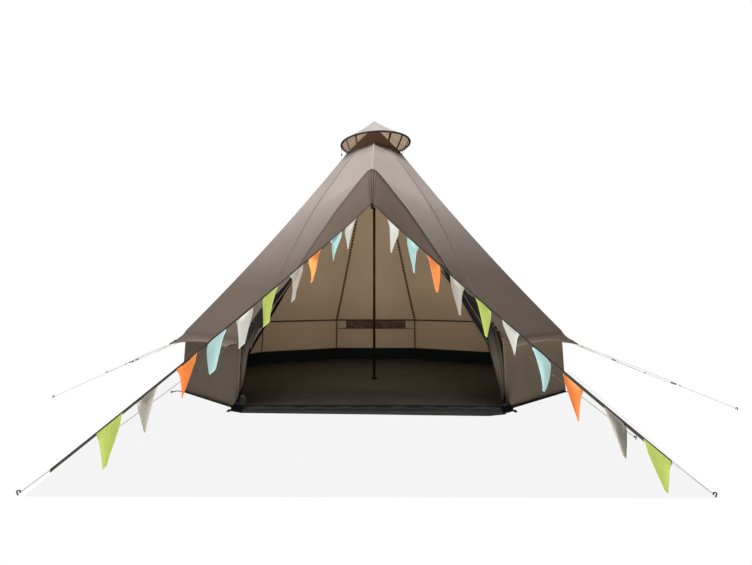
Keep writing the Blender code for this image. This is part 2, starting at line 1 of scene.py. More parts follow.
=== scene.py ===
"""Tipi tent, the looks: canvas roof and walls with felled seams, the gathered hood, door cloth, floor, poles,
vent cap, guys and bunting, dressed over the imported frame. Metres, +Z up, the door faces -Y.
"""

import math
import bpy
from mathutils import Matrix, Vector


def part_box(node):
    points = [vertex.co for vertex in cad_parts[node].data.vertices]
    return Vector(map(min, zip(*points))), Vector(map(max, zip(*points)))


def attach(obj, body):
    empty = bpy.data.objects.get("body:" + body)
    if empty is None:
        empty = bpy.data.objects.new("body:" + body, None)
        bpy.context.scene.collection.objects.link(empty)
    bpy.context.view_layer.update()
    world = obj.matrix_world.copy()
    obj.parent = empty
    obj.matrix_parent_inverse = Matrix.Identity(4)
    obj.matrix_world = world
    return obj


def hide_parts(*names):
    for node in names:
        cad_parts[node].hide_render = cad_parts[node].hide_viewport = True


bl_info = {
    "name": "Tipi tent",
    "version": (1, 0, 0),
    "blender": (4, 5, 0),
    "location": "View3D > Sidebar > Tipi",
    "description": "Dresses the tipi tent's frame in canvas, netting, rope and bunting",
    "category": "Object",
}

import bmesh
import bpy
import numpy as np
from bpy.props import FloatProperty, FloatVectorProperty, IntProperty, PointerProperty
from mathutils import Vector

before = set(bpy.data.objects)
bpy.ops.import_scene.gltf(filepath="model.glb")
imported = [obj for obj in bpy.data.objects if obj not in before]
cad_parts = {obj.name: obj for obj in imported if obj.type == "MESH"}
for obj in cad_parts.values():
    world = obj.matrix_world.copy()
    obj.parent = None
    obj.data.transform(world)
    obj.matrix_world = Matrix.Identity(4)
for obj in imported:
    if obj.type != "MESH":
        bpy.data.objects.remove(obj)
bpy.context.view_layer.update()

# Plan and roof, as the solids have them
SECTOR = 2.0 * math.pi / 11.0
CORNERS = 10
RADIUS = 2.15
WALL_TOP_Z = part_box("wall_right_side")[1].z
WALL_LEAN = 0.02
WALL_LINE_Z = WALL_TOP_Z + 0.0063
RING_RADIUS, RING_Z = 0.31, 2.66
SAG = 0.035
KINK_Z = 0.5745
TIP_SCALE, TIP_Z, FRONT_TIP_Z = 1.055, 0.49, 0.545
HEM_HOLLOW, SKIRT_ROWS = 0.42, 10
FRONT_SEAM = (
    (2.66, 0.1676, -0.2608),
    (2.30, 0.370, -0.562),
    (1.92, 0.572, -0.858),
    (1.40, 0.790, -1.205),
    (0.945, 0.952, -1.535),
    (WALL_LINE_Z, 1.1393, -1.7724),
)

# Hood over the door
RIDGE_TOP = (0.0, -0.288, 2.708)
RIDGE = ((0.0, -0.31, 2.69), (0.0, -0.75, 2.497), (0.0, -1.2, 2.299), (0.0, -1.612, 2.120))
FOLD = (
    (0.030, -1.612, 2.108),
    (0.067, -1.612, 2.072),
    (0.143, -1.613, 1.980),
    (0.232, -1.614, 1.865),
    (0.322, -1.616, 1.750),
    (0.425, -1.618, 1.602),
    (0.522, -1.621, 1.460),
    (0.596, -1.625, 1.350),
    (0.672, -1.630, 1.222),
)
FREE_EDGE = ((0.748, -1.612, 1.113), (0.838, -1.585, 1.016))
# Heights at which the hood's rows meet the front seam; a whole number is one of the roof's eight rows.
FRONT_SEAM_LEVELS = (0, 1, 2, 1.93, 1.90, 3, 1.80, 1.72, 4, 1.50, 5, 1.28, 1.19, 6, 1.03, 0.945)
ROOF_ROWS = 8
HOOD_EDGE = (
    (0.030, -1.748, 1.762),
    (0.062, -1.742, 1.733),
    (0.135, -1.728, 1.662),
    (0.222, -1.712, 1.581),
    (0.310, -1.696, 1.503),
    (0.412, -1.678, 1.416),
    (0.510, -1.660, 1.338),
    (0.588, -1.646, 1.277),
)
HOOD_POINT = (0.0, -1.75, 1.773)
TOGGLE_Y = -1.7615
TOGGLE_PROFILE = (
    (0.0, 1.735), (0.008, 1.735), (0.0105, 1.738), (0.0105, 1.744), (0.0075, 1.749), (0.0105, 1.754),
    (0.011, 1.762), (0.0105, 1.770), (0.0075, 1.775), (0.0105, 1.780), (0.0100, 1.787), (0.007, 1.790),
    (0.0, 1.790),
)

# Groundsheet
FLOOR_Z, TUB_Z, SILL_Z = 0.004, 0.184, 0.037
FLAP_FOLD_Y = -1.785
TAB_WIDTH, TAB_LENGTH = 0.03, 0.115
SILL_FLAP = (
    (1.110, -1.990), (0.960, -2.058), (0.450, -2.032), (0.0, -2.002), (-0.600, -1.976), (-1.106, -1.950),
)

# Pads on the flap's corners: depth, height, and the near and far edge across
PAD_ROWS = (
    (-1.806, 0.038, 1.140, 1.195),
    (-1.840, 0.030, 1.122, 1.205),
    (-1.875, 0.021, 1.108, 1.200),
    (-1.910, 0.013, 1.096, 1.180),
    (-1.938, 0.008, 1.088, 1.150),
)

# Rear vent
VENT_HALF, VENT_LOW, VENT_HIGH = 0.45, 0.482, 0.612

# Cap
CAP_TIP_Z, CAP_RADIUS, CAP_RIM_Z = 3.03, 0.40, 2.76
CAP_TILT, CAP_PITCH = math.radians(-3.4), math.radians(5.5)
CAP_RIBS = 12
CAP_STRAPS = (26, 51, 78, 104, 130, 155, 180, 205, 230, 255, 279, 303, 326)

# Door frame
LEG_FOOT = (1.41, -1.462, 0.01)
LEG_KNEE = (0.745, -1.543, 1.10)
LEG_TOP = (0.316, -1.590, 1.7350)

# Binding along the inner edge of the right door cloth
DOOR_EDGE = (
    (0.611, -1.600, 1.213),
    (0.716, -1.604, 1.076),
    (0.812, -1.618, 0.923),
    (0.897, -1.640, 0.771),
    (0.998, -1.662, 0.605),
    (1.036, -1.672, 0.518),
)

# The mesh gathered on each side of the door: its inner edge, its outer edge and its zip
NET_TOP, NET_FOLD = (0.545, -1.600, 1.398), (0.756, -1.612, 1.116)
DOOR_NETS = {
    "right": (
        (
            (0.530, -1.572, 1.395), (0.716, -1.600, 1.076), (0.812, -1.612, 0.923), (0.897, -1.632, 0.771),
            (0.998, -1.655, 0.605),
        ),
        (NET_TOP, NET_FOLD, (0.875, -1.605, 0.985), (0.985, -1.640, 0.850), (1.040, -1.670, 0.690)),
        (
            (0.722, -1.604, 1.126), (0.776, -1.614, 1.060), (0.838, -1.622, 0.960), (0.900, -1.642, 0.852),
            (0.962, -1.662, 0.752), (1.010, -1.670, 0.675),
        ),
    ),
    "left": (
        (
            (0.530, -1.572, 1.395), (0.740, -1.600, 1.092), (0.820, -1.612, 0.966), (0.905, -1.632, 0.840),
            (0.985, -1.652, 0.690),
        ),
        (NET_TOP, NET_FOLD, (0.872, -1.602, 0.985), (0.990, -1.640, 0.870), (1.085, -1.690, 0.720)),
        (
            (0.722, -1.604, 1.126), (0.752, -1.612, 1.074), (0.812, -1.622, 0.985), (0.893, -1.640, 0.868),
            (0.955, -1.662, 0.735), (1.004, -1.668, 0.655), (1.052, -1.668, 0.578), (1.078, -1.668, 0.512),
        ),
    ),
}

# A black cord round the lower corner of the left door cloth, a dark thing put for the shade along the cloth's
# inner edge: painted shade
LEFT_DOOR_CORNER = (
    (-1.118, -1.800, 0.190),
    (-1.128, -1.812, 0.150),
    (-1.140, -1.824, 0.108),
    (-1.156, -1.826, 0.078),
    (-1.174, -1.826, 0.046),
)

# Guys: each peg's bearing in degrees and its distance from the pole
GUY_PEGS = (
    (32.6, 3.36), (59.8, 3.61), (98.1, 3.415), (130.9, 3.40), (163.6, 3.40),
    (-163.6, 3.40), (-130.9, 3.40), (-98.1, 3.415), (-67.2, 3.31), (-32.6, 3.36),
)
GUY_NAMES = (
    "right_door", "right_front", "right_side", "right_rear_side", "right_back",
    "left_back", "left_rear_side", "left_side", "left_front", "left_door",
)
# How far down the line a slider stands, where it isn't the usual share
USUAL_SLIDER_SHARE = 0.64
SLIDER_SHARES = {"left_front": 0.34, "left_door": 0.30, "right_door": 0.30}
PEG_HEIGHT, PEG_WIRE = 0.024, 0.0034

# Bunting
BUNTING_PEG = (1.70, -3.96)
BUNTING_TOP = (0.0113, -1.7625, 1.772)
BUNTING_SAG = 0.022
RIBBON_HEIGHT = 0.016
RIBBON_GROWTH = ((0.0, 0.30, 0.60, 1.0), (0.45, 0.75, 1.35, 1.45))
RIBBON_SHARE = {1: 0.926, -1: 0.948}
FLAG_HALF_SHARE = 0.0272
# Each pennant: its share of the way, the tip outward, back and up from its top, how fast it narrows,
# how wide its tip stays, how far the tip curls across, and its glow: painted light that stands in for light
# through it and evens out its shading.
PENNANTS = {
    1: (
        (0.0998, -0.019, -0.058, -0.242, 1.15, 0.10, 0.0, 0.20),
        (0.1903, 0.009, 0.0, -0.251, 1.45, 0.14, 0.0, 0.28),
        (0.2735, 0.030, 0.0, -0.254, 0.85, 0.16, 0.0, 0.18),
        (0.3680, 0.018, 0.0, -0.253, 1.00, 0.12, 0.0, 0.12),
        (0.4573, 0.014, -0.050, -0.232, 1.00, 0.14, 0.0, 0.22),
        (0.5461, 0.000, -0.140, -0.174, 1.20, 0.06, -0.008, 0.27),
        (0.6307, 0.017, -0.082, -0.236, 0.95, 0.08, -0.020, 0.34),
        (0.7154, 0.034, 0.0, -0.256, 1.10, 0.05, 0.0, 0.12),
        (0.8077, 0.024, -0.104, -0.226, 1.00, 0.10, 0.0, 0.00),
        (0.8984, -0.045, -0.190, -0.160, 1.00, 0.12, 0.0, 0.50),
    ),
    -1: (
        (0.0932, 0.022, -0.100, -0.228, 1.55, 0.10, 0.0, 0.10),
        (0.1617, 0.018, -0.132, -0.212, 2.20, 0.05, 0.010, 0.24),
        (0.2473, 0.033, 0.114, -0.220, 2.60, 0.18, -0.010, 0.20),
        (0.3205, 0.015, -0.079, -0.237, 2.80, 0.28, 0.0, 0.32),
        (0.4113, 0.018, -0.075, -0.238, 1.70, 0.40, 0.0, 0.32),
        (0.4961, 0.012, -0.045, -0.226, 1.10, 0.34, 0.0, 0.16),
        (0.5767, 0.004, -0.101, -0.229, 0.85, 0.30, 0.0, 0.46),
        (0.6586, 0.001, -0.090, -0.222, 1.25, 0.05, 0.0, 0.48),
        (0.7516, 0.010, -0.030, -0.240, 1.20, 0.05, 0.0, 0.02),
        (0.8356, -0.030, -0.122, -0.216, 1.10, 0.14, 0.0, 0.55),
    ),
}
PENNANT_ORDER = ("white", "aqua", "orange", "grey", "green")

# Cloths: pitch of the canvas, of the netting and of the bar tacks on the inner tape
CANVAS_WEAVE, NET_PITCH, BAR_TACK_PITCH = 0.0016, 0.0022, 0.052
# The header's gathers: half a fold at the opening's edge, how much it grows upward, and where they begin
GATHER_WIDTH, GATHER_GROWTH, GATHER_SHIFT = 0.0046, 0.0090, 0.8


def colour_property(name, description, value):
    return FloatVectorProperty(
        name=name, description=description, subtype="COLOR", size=3, min=0.0, max=1.0, default=value
    )


def length_property(name, description, value):
    return FloatProperty(name=name, description=description, default=value, min=0.0, unit="LENGTH")


class TipiSizes(bpy.types.PropertyGroup):
    cloth: length_property("Cloth", "Thickness of the canvas", 0.0016)
    seam_width: length_property("Seam", "Width of a felled seam", 0.016)
    stitch_pitch: length_property("Stitch pitch", "From one stitch to the next", 0.008)
    hem_width: length_property("Hem", "Width of the hem round the eaves", 0.046)
    rope: length_property("Guy line", "Radius of a guy line's strand", 0.0019)
    panel_dip: length_property("Panel dip", "How far a roof panel sinks between its seams", 0.014)
    columns: IntProperty(name="Columns", description="Columns of faces in a roof panel", default=18, min=4)
    rows: IntProperty(name="Rows", description="Rows of faces down the roof", default=72, min=8)


class TipiColours(bpy.types.PropertyGroup):
    # The roof's two tones make it lighter towards the cap: painted light.
    roof_top: colour_property("Roof top", "Canvas near the cap", (0.373, 0.324, 0.293))
    roof_low: colour_property("Roof low", "Canvas near the eaves", (0.174, 0.130, 0.104))
    roof_lining_top: colour_property("Roof lining top", "Inner face of the upper roof", (0.261, 0.197, 0.130))
    roof_lining_low: colour_property("Roof lining low", "Inner face near the eaves", (0.42, 0.316, 0.208))
    # The header's right half is darker than its left: painted shade.
    header: colour_property("Header", "Gathered strip, left of its middle", (0.226, 0.174, 0.142))
    header_right_shaded: colour_property("Header right", "Gathered strip, right half", (0.182, 0.140, 0.112))
    lining: colour_property("Wall lining", "Inner face of the walls", (0.278, 0.209, 0.138))
    # The right walls are lighter than the left: painted light.
    wall: colour_property("Wall", "Outside of the left walls", (0.146, 0.111, 0.077))
    wall_right: colour_property("Wall right", "Outside of the right walls", (0.235, 0.178, 0.120))
    cap: colour_property("Cap", "Canvas of the vent cap", (0.305, 0.288, 0.276))
    vinyl: colour_property("Groundsheet", "Coated welt round the walls", (0.020, 0.021, 0.021))
    floor: colour_property("Floor", "Coated floor cloth", (0.0168, 0.0132, 0.0100))
    door: colour_property("Door cloth", "Rolled back door", (0.163, 0.130, 0.095))
    net: colour_property("Netting", "Mesh of the vents and door", (0.026, 0.020, 0.017))
    tape: colour_property("Tape", "Seam tape and webbing", (0.020, 0.016, 0.013))
    steel: colour_property("Steel", "Pegs, rings and eyelets", (0.010, 0.009, 0.009))
    pole: colour_property("Poles", "Centre pole and door frame", (0.0050, 0.0016, 0.0004))
    rope: colour_property("Rope", "Guy lines", (0.42, 0.40, 0.37))
    ribbon: colour_property("Ribbon", "Bunting's ribbon", (0.075, 0.070, 0.058))
    white: colour_property("White", "White pennants", (0.80, 0.80, 0.73))
    aqua: colour_property("Aqua", "Aqua pennants", (0.47, 0.70, 0.68))
    orange: colour_property("Orange", "Orange pennants", (0.92, 0.28, 0.07))
    grey: colour_property("Grey", "Grey pennants", (0.56, 0.52, 0.45))
    green: colour_property("Green", "Green pennants", (0.54, 0.65, 0.15))


# Node trees


class Wire:
    """A number that runs through a node tree; Python's operators on it add Math nodes."""

    def __init__(self, plan, socket):
        self.plan, self.socket = plan, socket

    def _maths(self, operation, *numbers):
        return self.plan.add("ShaderNodeMath", {"operation": operation}, numbers)

    def __add__(self, other):
        return self._maths("ADD", self, other)

    __radd__ = __add__

    def __sub__(self, other):
        return self._maths("SUBTRACT", self, other)

    def __rsub__(self, other):
        return self._maths("SUBTRACT", other, self)

    def __mul__(self, other):
        return self._maths("MULTIPLY", self, other)

    __rmul__ = __mul__

    def __truediv__(self, other):
        return self._maths("DIVIDE", self, other)

    def __lt__(self, other):
        return self._maths("LESS_THAN", self, other)

    def __gt__(self, other):
        return self._maths("GREATER_THAN", self, other)

    def sine(self):
        return self._maths("SINE", self)

    def fraction(self):
        return self._maths("FRACT", self)

    def clamped(self):
        return self.plan.add("ShaderNodeClamp", {}, (self,))


class Plan:
    """A node tree being drawn, with one method that adds any node."""

    def __init__(self, tree):
        self.tree = tree

    def add(self, kind, settings=None, feeds=(), out=0):
        node = self.tree.nodes.new(kind)
        for key, value in (settings or {}).items():
            setattr(node, key, value)
        for key, value in feeds.items() if isinstance(feeds, dict) else enumerate(feeds):
            if isinstance(value, Wire):
                self.tree.links.new(value.socket, node.inputs[key])
            else:
                node.inputs[key].default_value = value
        return Wire(self, node.outputs[out])

    def mixed(self, factor, first, second, way="MIX"):
        """A colour between two, which are wires or plain colours."""
        pair = [value if isinstance(value, Wire) else (*value, 1.0) for value in (first, second)]
        settings = {"data_type": "RGBA", "blend_type": way}
        return self.add("ShaderNodeMix", settings, {0: factor, 6: pair[0], 7: pair[1]}, 2)

    def toned(self, colour, gain):
        """A colour made lighter or darker by a number."""
        grey = self.add("ShaderNodeCombineColor", {}, (gain, gain, gain))
        return self.mixed(1.0, colour, grey, "MULTIPLY")


class Finish(Plan):
    """A material with one Principled shader."""

    def __init__(self, name, roughness, sheen=0.0, specular=0.5):
        self.material = bpy.data.materials.new(name)
        self.material.use_nodes = True
        super().__init__(self.material.node_tree)
        self.shader = self.tree.nodes["Principled BSDF"]
        self.set("Roughness", roughness)
        self.set("Sheen Weight", sheen)
        self.set("Specular IOR Level", specular)
        self.place = self.add("ShaderNodeTexCoord", {}, (), "Object")

    def set(self, socket, value):
        self.shader.inputs[socket].default_value = value

    def axis(self, letter, spot=None):
        """One coordinate of the place on the tent, or of another spot."""
        return self.add("ShaderNodeSeparateXYZ", {}, (spot or self.place,), letter)

    def noise(self, scale, detail=3.0, stretch=(1.0, 1.0, 1.0)):
        spot = self.add("ShaderNodeMapping", {}, {"Vector": self.place, "Scale": stretch})
        return self.add("ShaderNodeTexNoise", {}, {"Vector": spot, "Scale": scale, "Detail": detail})

    def cloth_map(self):
        """Across and along on the piece's own cloth map, in metres."""
        spot = self.add("ShaderNodeUVMap", {"uv_map": "cloth"})
        return self.axis("X", spot), self.axis("Y", spot)

    def weave(self, pitch):
        """The height of a plain weave, from 0 to 1."""
        across, along = self.cloth_map()
        turn = 2.0 * math.pi / pitch
        return (across * turn).sine() * (along * turn).sine() * 0.5 + 0.5

    def feed(self, socket, wire):
        self.tree.links.new(wire.socket, self.shader.inputs[socket])

    def bump(self, height, distance):
        feeds = {"Strength": 1.0, "Distance": distance, "Height": height}
        self.feed("Normal", self.add("ShaderNodeBump", {}, feeds))


def canvas(
    name,
    low,
    high=None,
    tone=0.10,
    crease=0.0016,
    weave=CANVAS_WEAVE,
    reach=None,
    axis="Z",
    ring=False,
    painted_glow=0.0,
):
    """Woven polycotton: tone from low to high over a reach of one axis, soft creases and a plain weave.

    With ring, the canvas is the roof's and carries painted shade: its tone is drawn down on the right, so the
    darker low tone reaches higher there, and it darkens over its upper part and more so next to the vent,
    where the cap shades it.
    """
    finish = Finish(name, 0.88, sheen=0.08, specular=0.25)
    colour = low
    if high is not None:
        height = finish.axis(axis)
        fade = height
        # Painted shade: the darker low tone is drawn further up on the right side.
        if ring:
            fade = height - ((finish.axis("X") - 0.55) / 0.35).clamped() * 0.17
        share = ((fade - reach[0]) / (reach[1] - reach[0])).clamped()
        colour = finish.mixed(share, low, high)
    cloudy = finish.noise(1.7, 4.0)
    streaky = finish.noise(7.0, 5.0, (1.0, 1.0, 0.22))
    threads = finish.weave(weave)
    # The weave's threads are a little lighter on their crowns: painted shade between them.
    gain = 1.0 + (cloudy - 0.5) * tone + (streaky - 0.5) * (tone * 0.8) + (threads - 0.5) * 0.08
    # Painted shade: darker over the roof's upper part and more so next to the vent, for the cap's shadow.
    if ring:
        upper, last = ((height - 2.05) / 0.45).clamped(), ((height - 2.50) / 0.130).clamped()
        gain = gain * (1.0 - upper * 0.20 - last * 0.34)
    shaded = finish.toned(colour, gain)
    finish.feed("Base Color", shaded)
    # Painted light: the cloth glows in its own tone, as if lit through.
    if painted_glow:
        finish.feed("Emission Color", shaded)
        finish.set("Emission Strength", painted_glow)
    ripple = finish.noise(5.5, 3.0, (1.0, 1.0, 0.35))
    fine = finish.noise(26.0, 4.0)
    finish.bump(ripple * 4.0 + fine * 0.7 + threads * 0.12, crease)
    return finish.material


def shaded_canvas(name, left, right):
    """The header's canvas, with painted shade under its fold, in its gathers and on its right half, the side
    away from the light, and painted highlights on the gathers' crests.
    """
    finish = Finish(name, 0.9, sheen=0.05, specular=0.2)
    across, height = finish.axis("X"), finish.axis("Z")
    side = ((across + 0.01) / 0.09).clamped()
    painted_fold_shadow = (1.0 - finish.cloth_map()[1] / 0.06).clamped()
    rise = ((height - HOOD_POINT[2]) / 0.35).clamped()
    folds = (across / (rise * GATHER_GROWTH + GATHER_WIDTH) * math.pi + GATHER_SHIFT).sine()
    wide = rise * 0.055 + 0.022
    gathered = (1.0 - (across * across) / (wide * wide)).clamped()
    threads = finish.weave(CANVAS_WEAVE)
    # Painted shadow under the fold, deeper on the right half.
    gain = 1.0 - painted_fold_shadow * (side * 0.30 + 0.35) + (finish.noise(9.0, 5.0, (1.0, 1.0, 0.3)) - 0.5) * 0.16
    # Painted shade in the gathers, lighter on their crests: painted highlights.
    gain = gain + gathered * (folds * 0.30 - 0.12)
    # The right half's darker tone is painted shade; the weave is lighter on its crowns, painted shade between
    # the threads.
    finish.feed("Base Color", finish.toned(finish.mixed(side, left, right), gain + (threads - 0.5) * 0.08))
    finish.bump(finish.noise(24.0, 4.0) + threads * 0.12, 0.0012)
    return finish.material


def netting(name, colour, cover, mottle=0.4, coarse=18.0):
    """Knitted mesh: threads with square holes between them."""
    finish = Finish(name, 0.8, specular=0.2)
    across, along = finish.cloth_map()
    thread = 1.0 - cover * 0.5
    holes = ((across / NET_PITCH).fraction() < thread) * ((along / NET_PITCH).fraction() < thread)
    finish.feed("Alpha", (1.0 - holes * (1.0 - cover)).clamped())
    shade = finish.noise(coarse, 5.0, (0.35, 1.0, 1.0))
    finish.feed("Base Color", finish.toned(colour, 1.0 + (shade - 0.5) * mottle))
    finish.bump(shade, 0.001)
    return finish.material


def dashed(name, dark, light):
    """Seam tape bar-tacked every few centimetres, so that it shows as dark dashes."""
    finish = Finish(name, 0.85, specular=0.2)
    along = finish.cloth_map()[1]
    shade = finish.noise(40.0)
    gap = ((along / BAR_TACK_PITCH).fraction() > 0.52) * (0.50 + shade * 0.5)
    finish.feed("Base Color", finish.mixed(gap, dark, light))
    finish.bump(shade, 0.001)
    return finish.material


def vinyl(name, colour, flap=None, front=None, specular=0.3):
    """Coated groundsheet, a smooth dark film with faint dust. The front may take a lighter tone towards the
    door and the flap a tone of its own: the floor's lighter front and the bathtub's far lighter flap are
    painted light.
    """
    finish = Finish(name, 0.5, specular=specular)
    broad = finish.noise(2.2, 4.0)
    creases = finish.noise(6.0, 6.0, (1.0, 0.45, 1.0))
    grain = finish.noise(180.0, 2.0)
    tone = finish.mixed(broad, colour, tuple(c * 1.6 for c in colour))
    depth = finish.axis("Y")
    if front is not None:
        tone = finish.mixed((depth / -0.9).clamped(), tone, front)
    if flap is not None:
        tone = finish.mixed((depth < FLAP_FOLD_Y) * (finish.axis("Z") < 0.055), tone, flap)
    # Darker in the creases and lighter on their ridges: painted shade.
    finish.feed("Base Color", finish.toned(tone, 0.8 + creases * 0.4))
    finish.feed("Roughness", 0.5 + broad * 0.25)
    finish.bump(creases * 3.0 + grain * 0.08, 0.003)
    return finish.material


def metal(name, colour, wear=0.04, specular=0.12):
    """Painted or plated steel with rubbed patches."""
    finish = Finish(name, 0.6, specular=specular)
    worn = finish.noise(35.0, 5.0, (1.0, 1.0, 0.2))
    light = tuple(c + wear * 0.25 for c in colour)
    finish.feed("Base Color", finish.mixed((worn * 1.8 - 0.6).clamped(), colour, light))
    finish.feed("Roughness", worn * 0.3 + 0.5)
    finish.bump(worn, 0.0002)
    return finish.material


def moulded(name, colour, roughness=0.5):
    """Plastic, tape or thread of one tone, with a fine grain."""
    finish = Finish(name, roughness, specular=0.45)
    grain = finish.noise(240.0, 3.0)
    finish.feed("Base Color", finish.toned(colour, 0.85 + grain * 0.3))
    finish.bump(grain, 0.0002)
    return finish.material


def cordage(name, colour, pale=None):
    """Braided line: slanting strands, lighter on their crowns, with painted shade in the grooves between
    them. The bunting's ribbon is paler near its top.
    """
    finish = Finish(name, 0.75, specular=0.25)
    high = finish.axis("Z")
    strands = ((finish.axis("X") + finish.axis("Y") + high * 0.6) * 900.0).sine() * 0.5 + 0.5
    if pale is not None:
        colour = finish.mixed(((high - 1.56) / 0.05).clamped(), colour, pale)
    finish.feed("Base Color", finish.toned(colour, 0.8 + strands * 0.25))
    finish.bump(strands, 0.0006)
    return finish.material


# Meshes

TOUCHING, WELD = 0.00001, 0.00002
RIGHT, BACK, UP = np.eye(3)
FRONT = -BACK


def raised(height):
    """A step straight up."""
    return UP * height


def circle(centre, first, second, count):
    """Points round a centre, from one radius over towards another and back to where they began."""
    turns = np.linspace(0.0, 2.0 * math.pi, count)
    return [centre + first * math.cos(turn) + second * math.sin(turn) for turn in turns]


def unit(way):
    return way / np.linalg.norm(way)


def mirrored(points, side):
    """The same points, on the left where the side is -1."""
    return np.asarray(points) * (side, 1.0, 1.0)


# Which side of a cloth shows, at a place on it: the roof's, the hood's, the walls' and the cap's


def roof_side(place):
    return Vector((place.x, place.y, 1.0))


def hood_side(place):
    return Vector((place.x, -0.5, 1.0))


def outside(place):
    return Vector((place.x, place.y, 0.0))


def inside(place):
    return Vector((-place.x, -place.y, 0.0))


def cap_side(place):
    return Vector((place.x, place.y, 0.3))


def curve_through(points, shares):
    """Points at shares, from 0 to 1 by number, of a smooth curve through the given ones."""
    knots = np.asarray(points, float)
    spans = len(knots) - 1
    place = np.clip(np.asarray(shares, float), 0.0, 1.0) * spans
    first = np.minimum(place.astype(int), spans - 1)
    share = (place - first)[:, None]
    before, start = knots[np.maximum(first - 1, 0)], knots[first]
    end, beyond = knots[first + 1], knots[np.minimum(first + 2, spans)]
    return 0.5 * (
        2.0 * start
        + (end - before) * share
        + (2.0 * before - 5.0 * start + 4.0 * end - beyond) * share**2
        + (3.0 * start - before - 3.0 * end + beyond) * share**3
    )


def grid_normals(grid):
    """Unit normals of a grid of points, rows down and columns across."""
    down = np.gradient(grid, axis=0)
    across = np.gradient(grid, axis=1)
    normal = np.cross(across, down)
    size = np.linalg.norm(normal, axis=2, keepdims=True)
    return normal / np.maximum(size, 1e-9)


def item_with(name, mesh, materials, smooth=True):
    """A mesh as an object in the scene."""
    item = bpy.data.objects.new(name, mesh)
    bpy.context.scene.collection.objects.link(item)
    for material in materials:
        mesh.materials.append(material)
    for face in mesh.polygons:
        face.use_smooth = smooth
    return item


def lengths_along(grid, axis):
    """How far each point of a grid lies from the start of its column or row."""
    steps = np.linalg.norm(np.diff(grid, axis=axis), axis=2)
    return np.concatenate([np.zeros_like(steps.take([0], axis)), np.cumsum(steps, axis=axis)], axis=axis)


def cloth_from(name, grids, materials, thickness, outward, weld=WELD):
    """A sheet of cloth through one or more grids of points, with a cloth map in metres and a real thickness.

    A second material goes on its inner face.
    """
    mesh = bpy.data.meshes.new(name)
    points, faces, maps = [], [], []
    for grid in grids:
        grid = np.asarray(grid, float)
        rows, columns = grid.shape[:2]
        base = len(points)
        points.extend(grid.reshape(-1, 3).tolist())
        across, down = lengths_along(grid, 1), lengths_along(grid, 0)
        across -= across[:, -1:] / 2.0
        index = np.arange(rows * columns).reshape(rows, columns) + base
        for row in range(rows - 1):
            for column in range(columns - 1):
                corners = ((row, column), (row + 1, column), (row + 1, column + 1), (row, column + 1))
                faces.append([int(index[c]) for c in corners])
                maps.append([(float(across[c]), float(down[c])) for c in corners])
    mesh.from_pydata(points, [], faces)
    layer = mesh.uv_layers.new(name="cloth")
    for polygon, places in zip(mesh.polygons, maps):
        for loop, place in zip(polygon.loop_indices, places):
            layer.data[loop].uv = place
    body = bmesh.new()
    body.from_mesh(mesh)
    bmesh.ops.remove_doubles(body, verts=body.verts, dist=weld)
    bmesh.ops.dissolve_degenerate(body, edges=body.edges, dist=TOUCHING)
    way = outward if callable(outward) else (lambda place: Vector(outward))
    agreement = sum(face.normal.dot(way(face.calc_center_median())) * face.calc_area() for face in body.faces)
    if agreement < 0.0:
        bmesh.ops.reverse_faces(body, faces=body.faces)
    body.to_mesh(mesh)
    body.free()
    item = item_with(name, mesh, materials)
    shell = item.modifiers.new("thickness", "SOLIDIFY")
    shell.thickness = thickness
    shell.offset = -1.0
    shell.use_even_offset = False
    shell.use_quality_normals = True
    shell.material_offset = len(materials) - 1
    return item


def solid_from(name, points, faces, material, smooth=True):
    """A closed mesh with its faces turned out."""
    mesh = bpy.data.meshes.new(name)
    mesh.from_pydata([tuple(point) for point in points], [], faces)
    body = bmesh.new()
    body.from_mesh(mesh)
    bmesh.ops.remove_doubles(body, verts=body.verts, dist=TOUCHING)
    bmesh.ops.recalc_face_normals(body, faces=body.faces)
    body.to_mesh(mesh)
    body.free()
    return item_with(name, mesh, [material], smooth)


def prism(name, outlines, material):
    """A solid between two outlines with the same number of points."""
    count = len(outlines[0])
    faces = [tuple(range(count)), tuple(range(count, 2 * count))]
    faces += [(k, (k + 1) % count, count + (k + 1) % count, count + k) for k in range(count)]
    return solid_from(name, outlines[0] + outlines[1], faces, material, False)


def geometry_plan(name, inputs):
    """A Geometry Nodes tree with a geometry way through it and named inputs."""
    tree = bpy.data.node_groups.new(name, "GeometryNodeTree")
    tree.interface.new_socket("Geometry", in_out="INPUT", socket_type="NodeSocketGeometry")
    for label, kind, value in inputs:
        socket = tree.interface.new_socket(label, in_out="INPUT", socket_type=kind)
        if value is not None:
            socket.default_value = value
    tree.interface.new_socket("Geometry", in_out="OUTPUT", socket_type="NodeSocketGeometry")
    plan = Plan(tree)
    start = tree.nodes.new("NodeGroupInput")
    return plan, {socket.name: Wire(plan, socket) for socket in start.outputs if socket.name}


def close_plan(plan, shape, material):
    """Realizes what the tree made and gives it its material."""
    real = plan.add("GeometryNodeRealizeInstances", {}, (shape,))
    done = plan.add("GeometryNodeSetMaterial", {}, {"Geometry": real, "Material": material})
    end = plan.tree.nodes.new("NodeGroupOutput")
    plan.tree.links.new(done.socket, end.inputs[0])
    return plan.tree


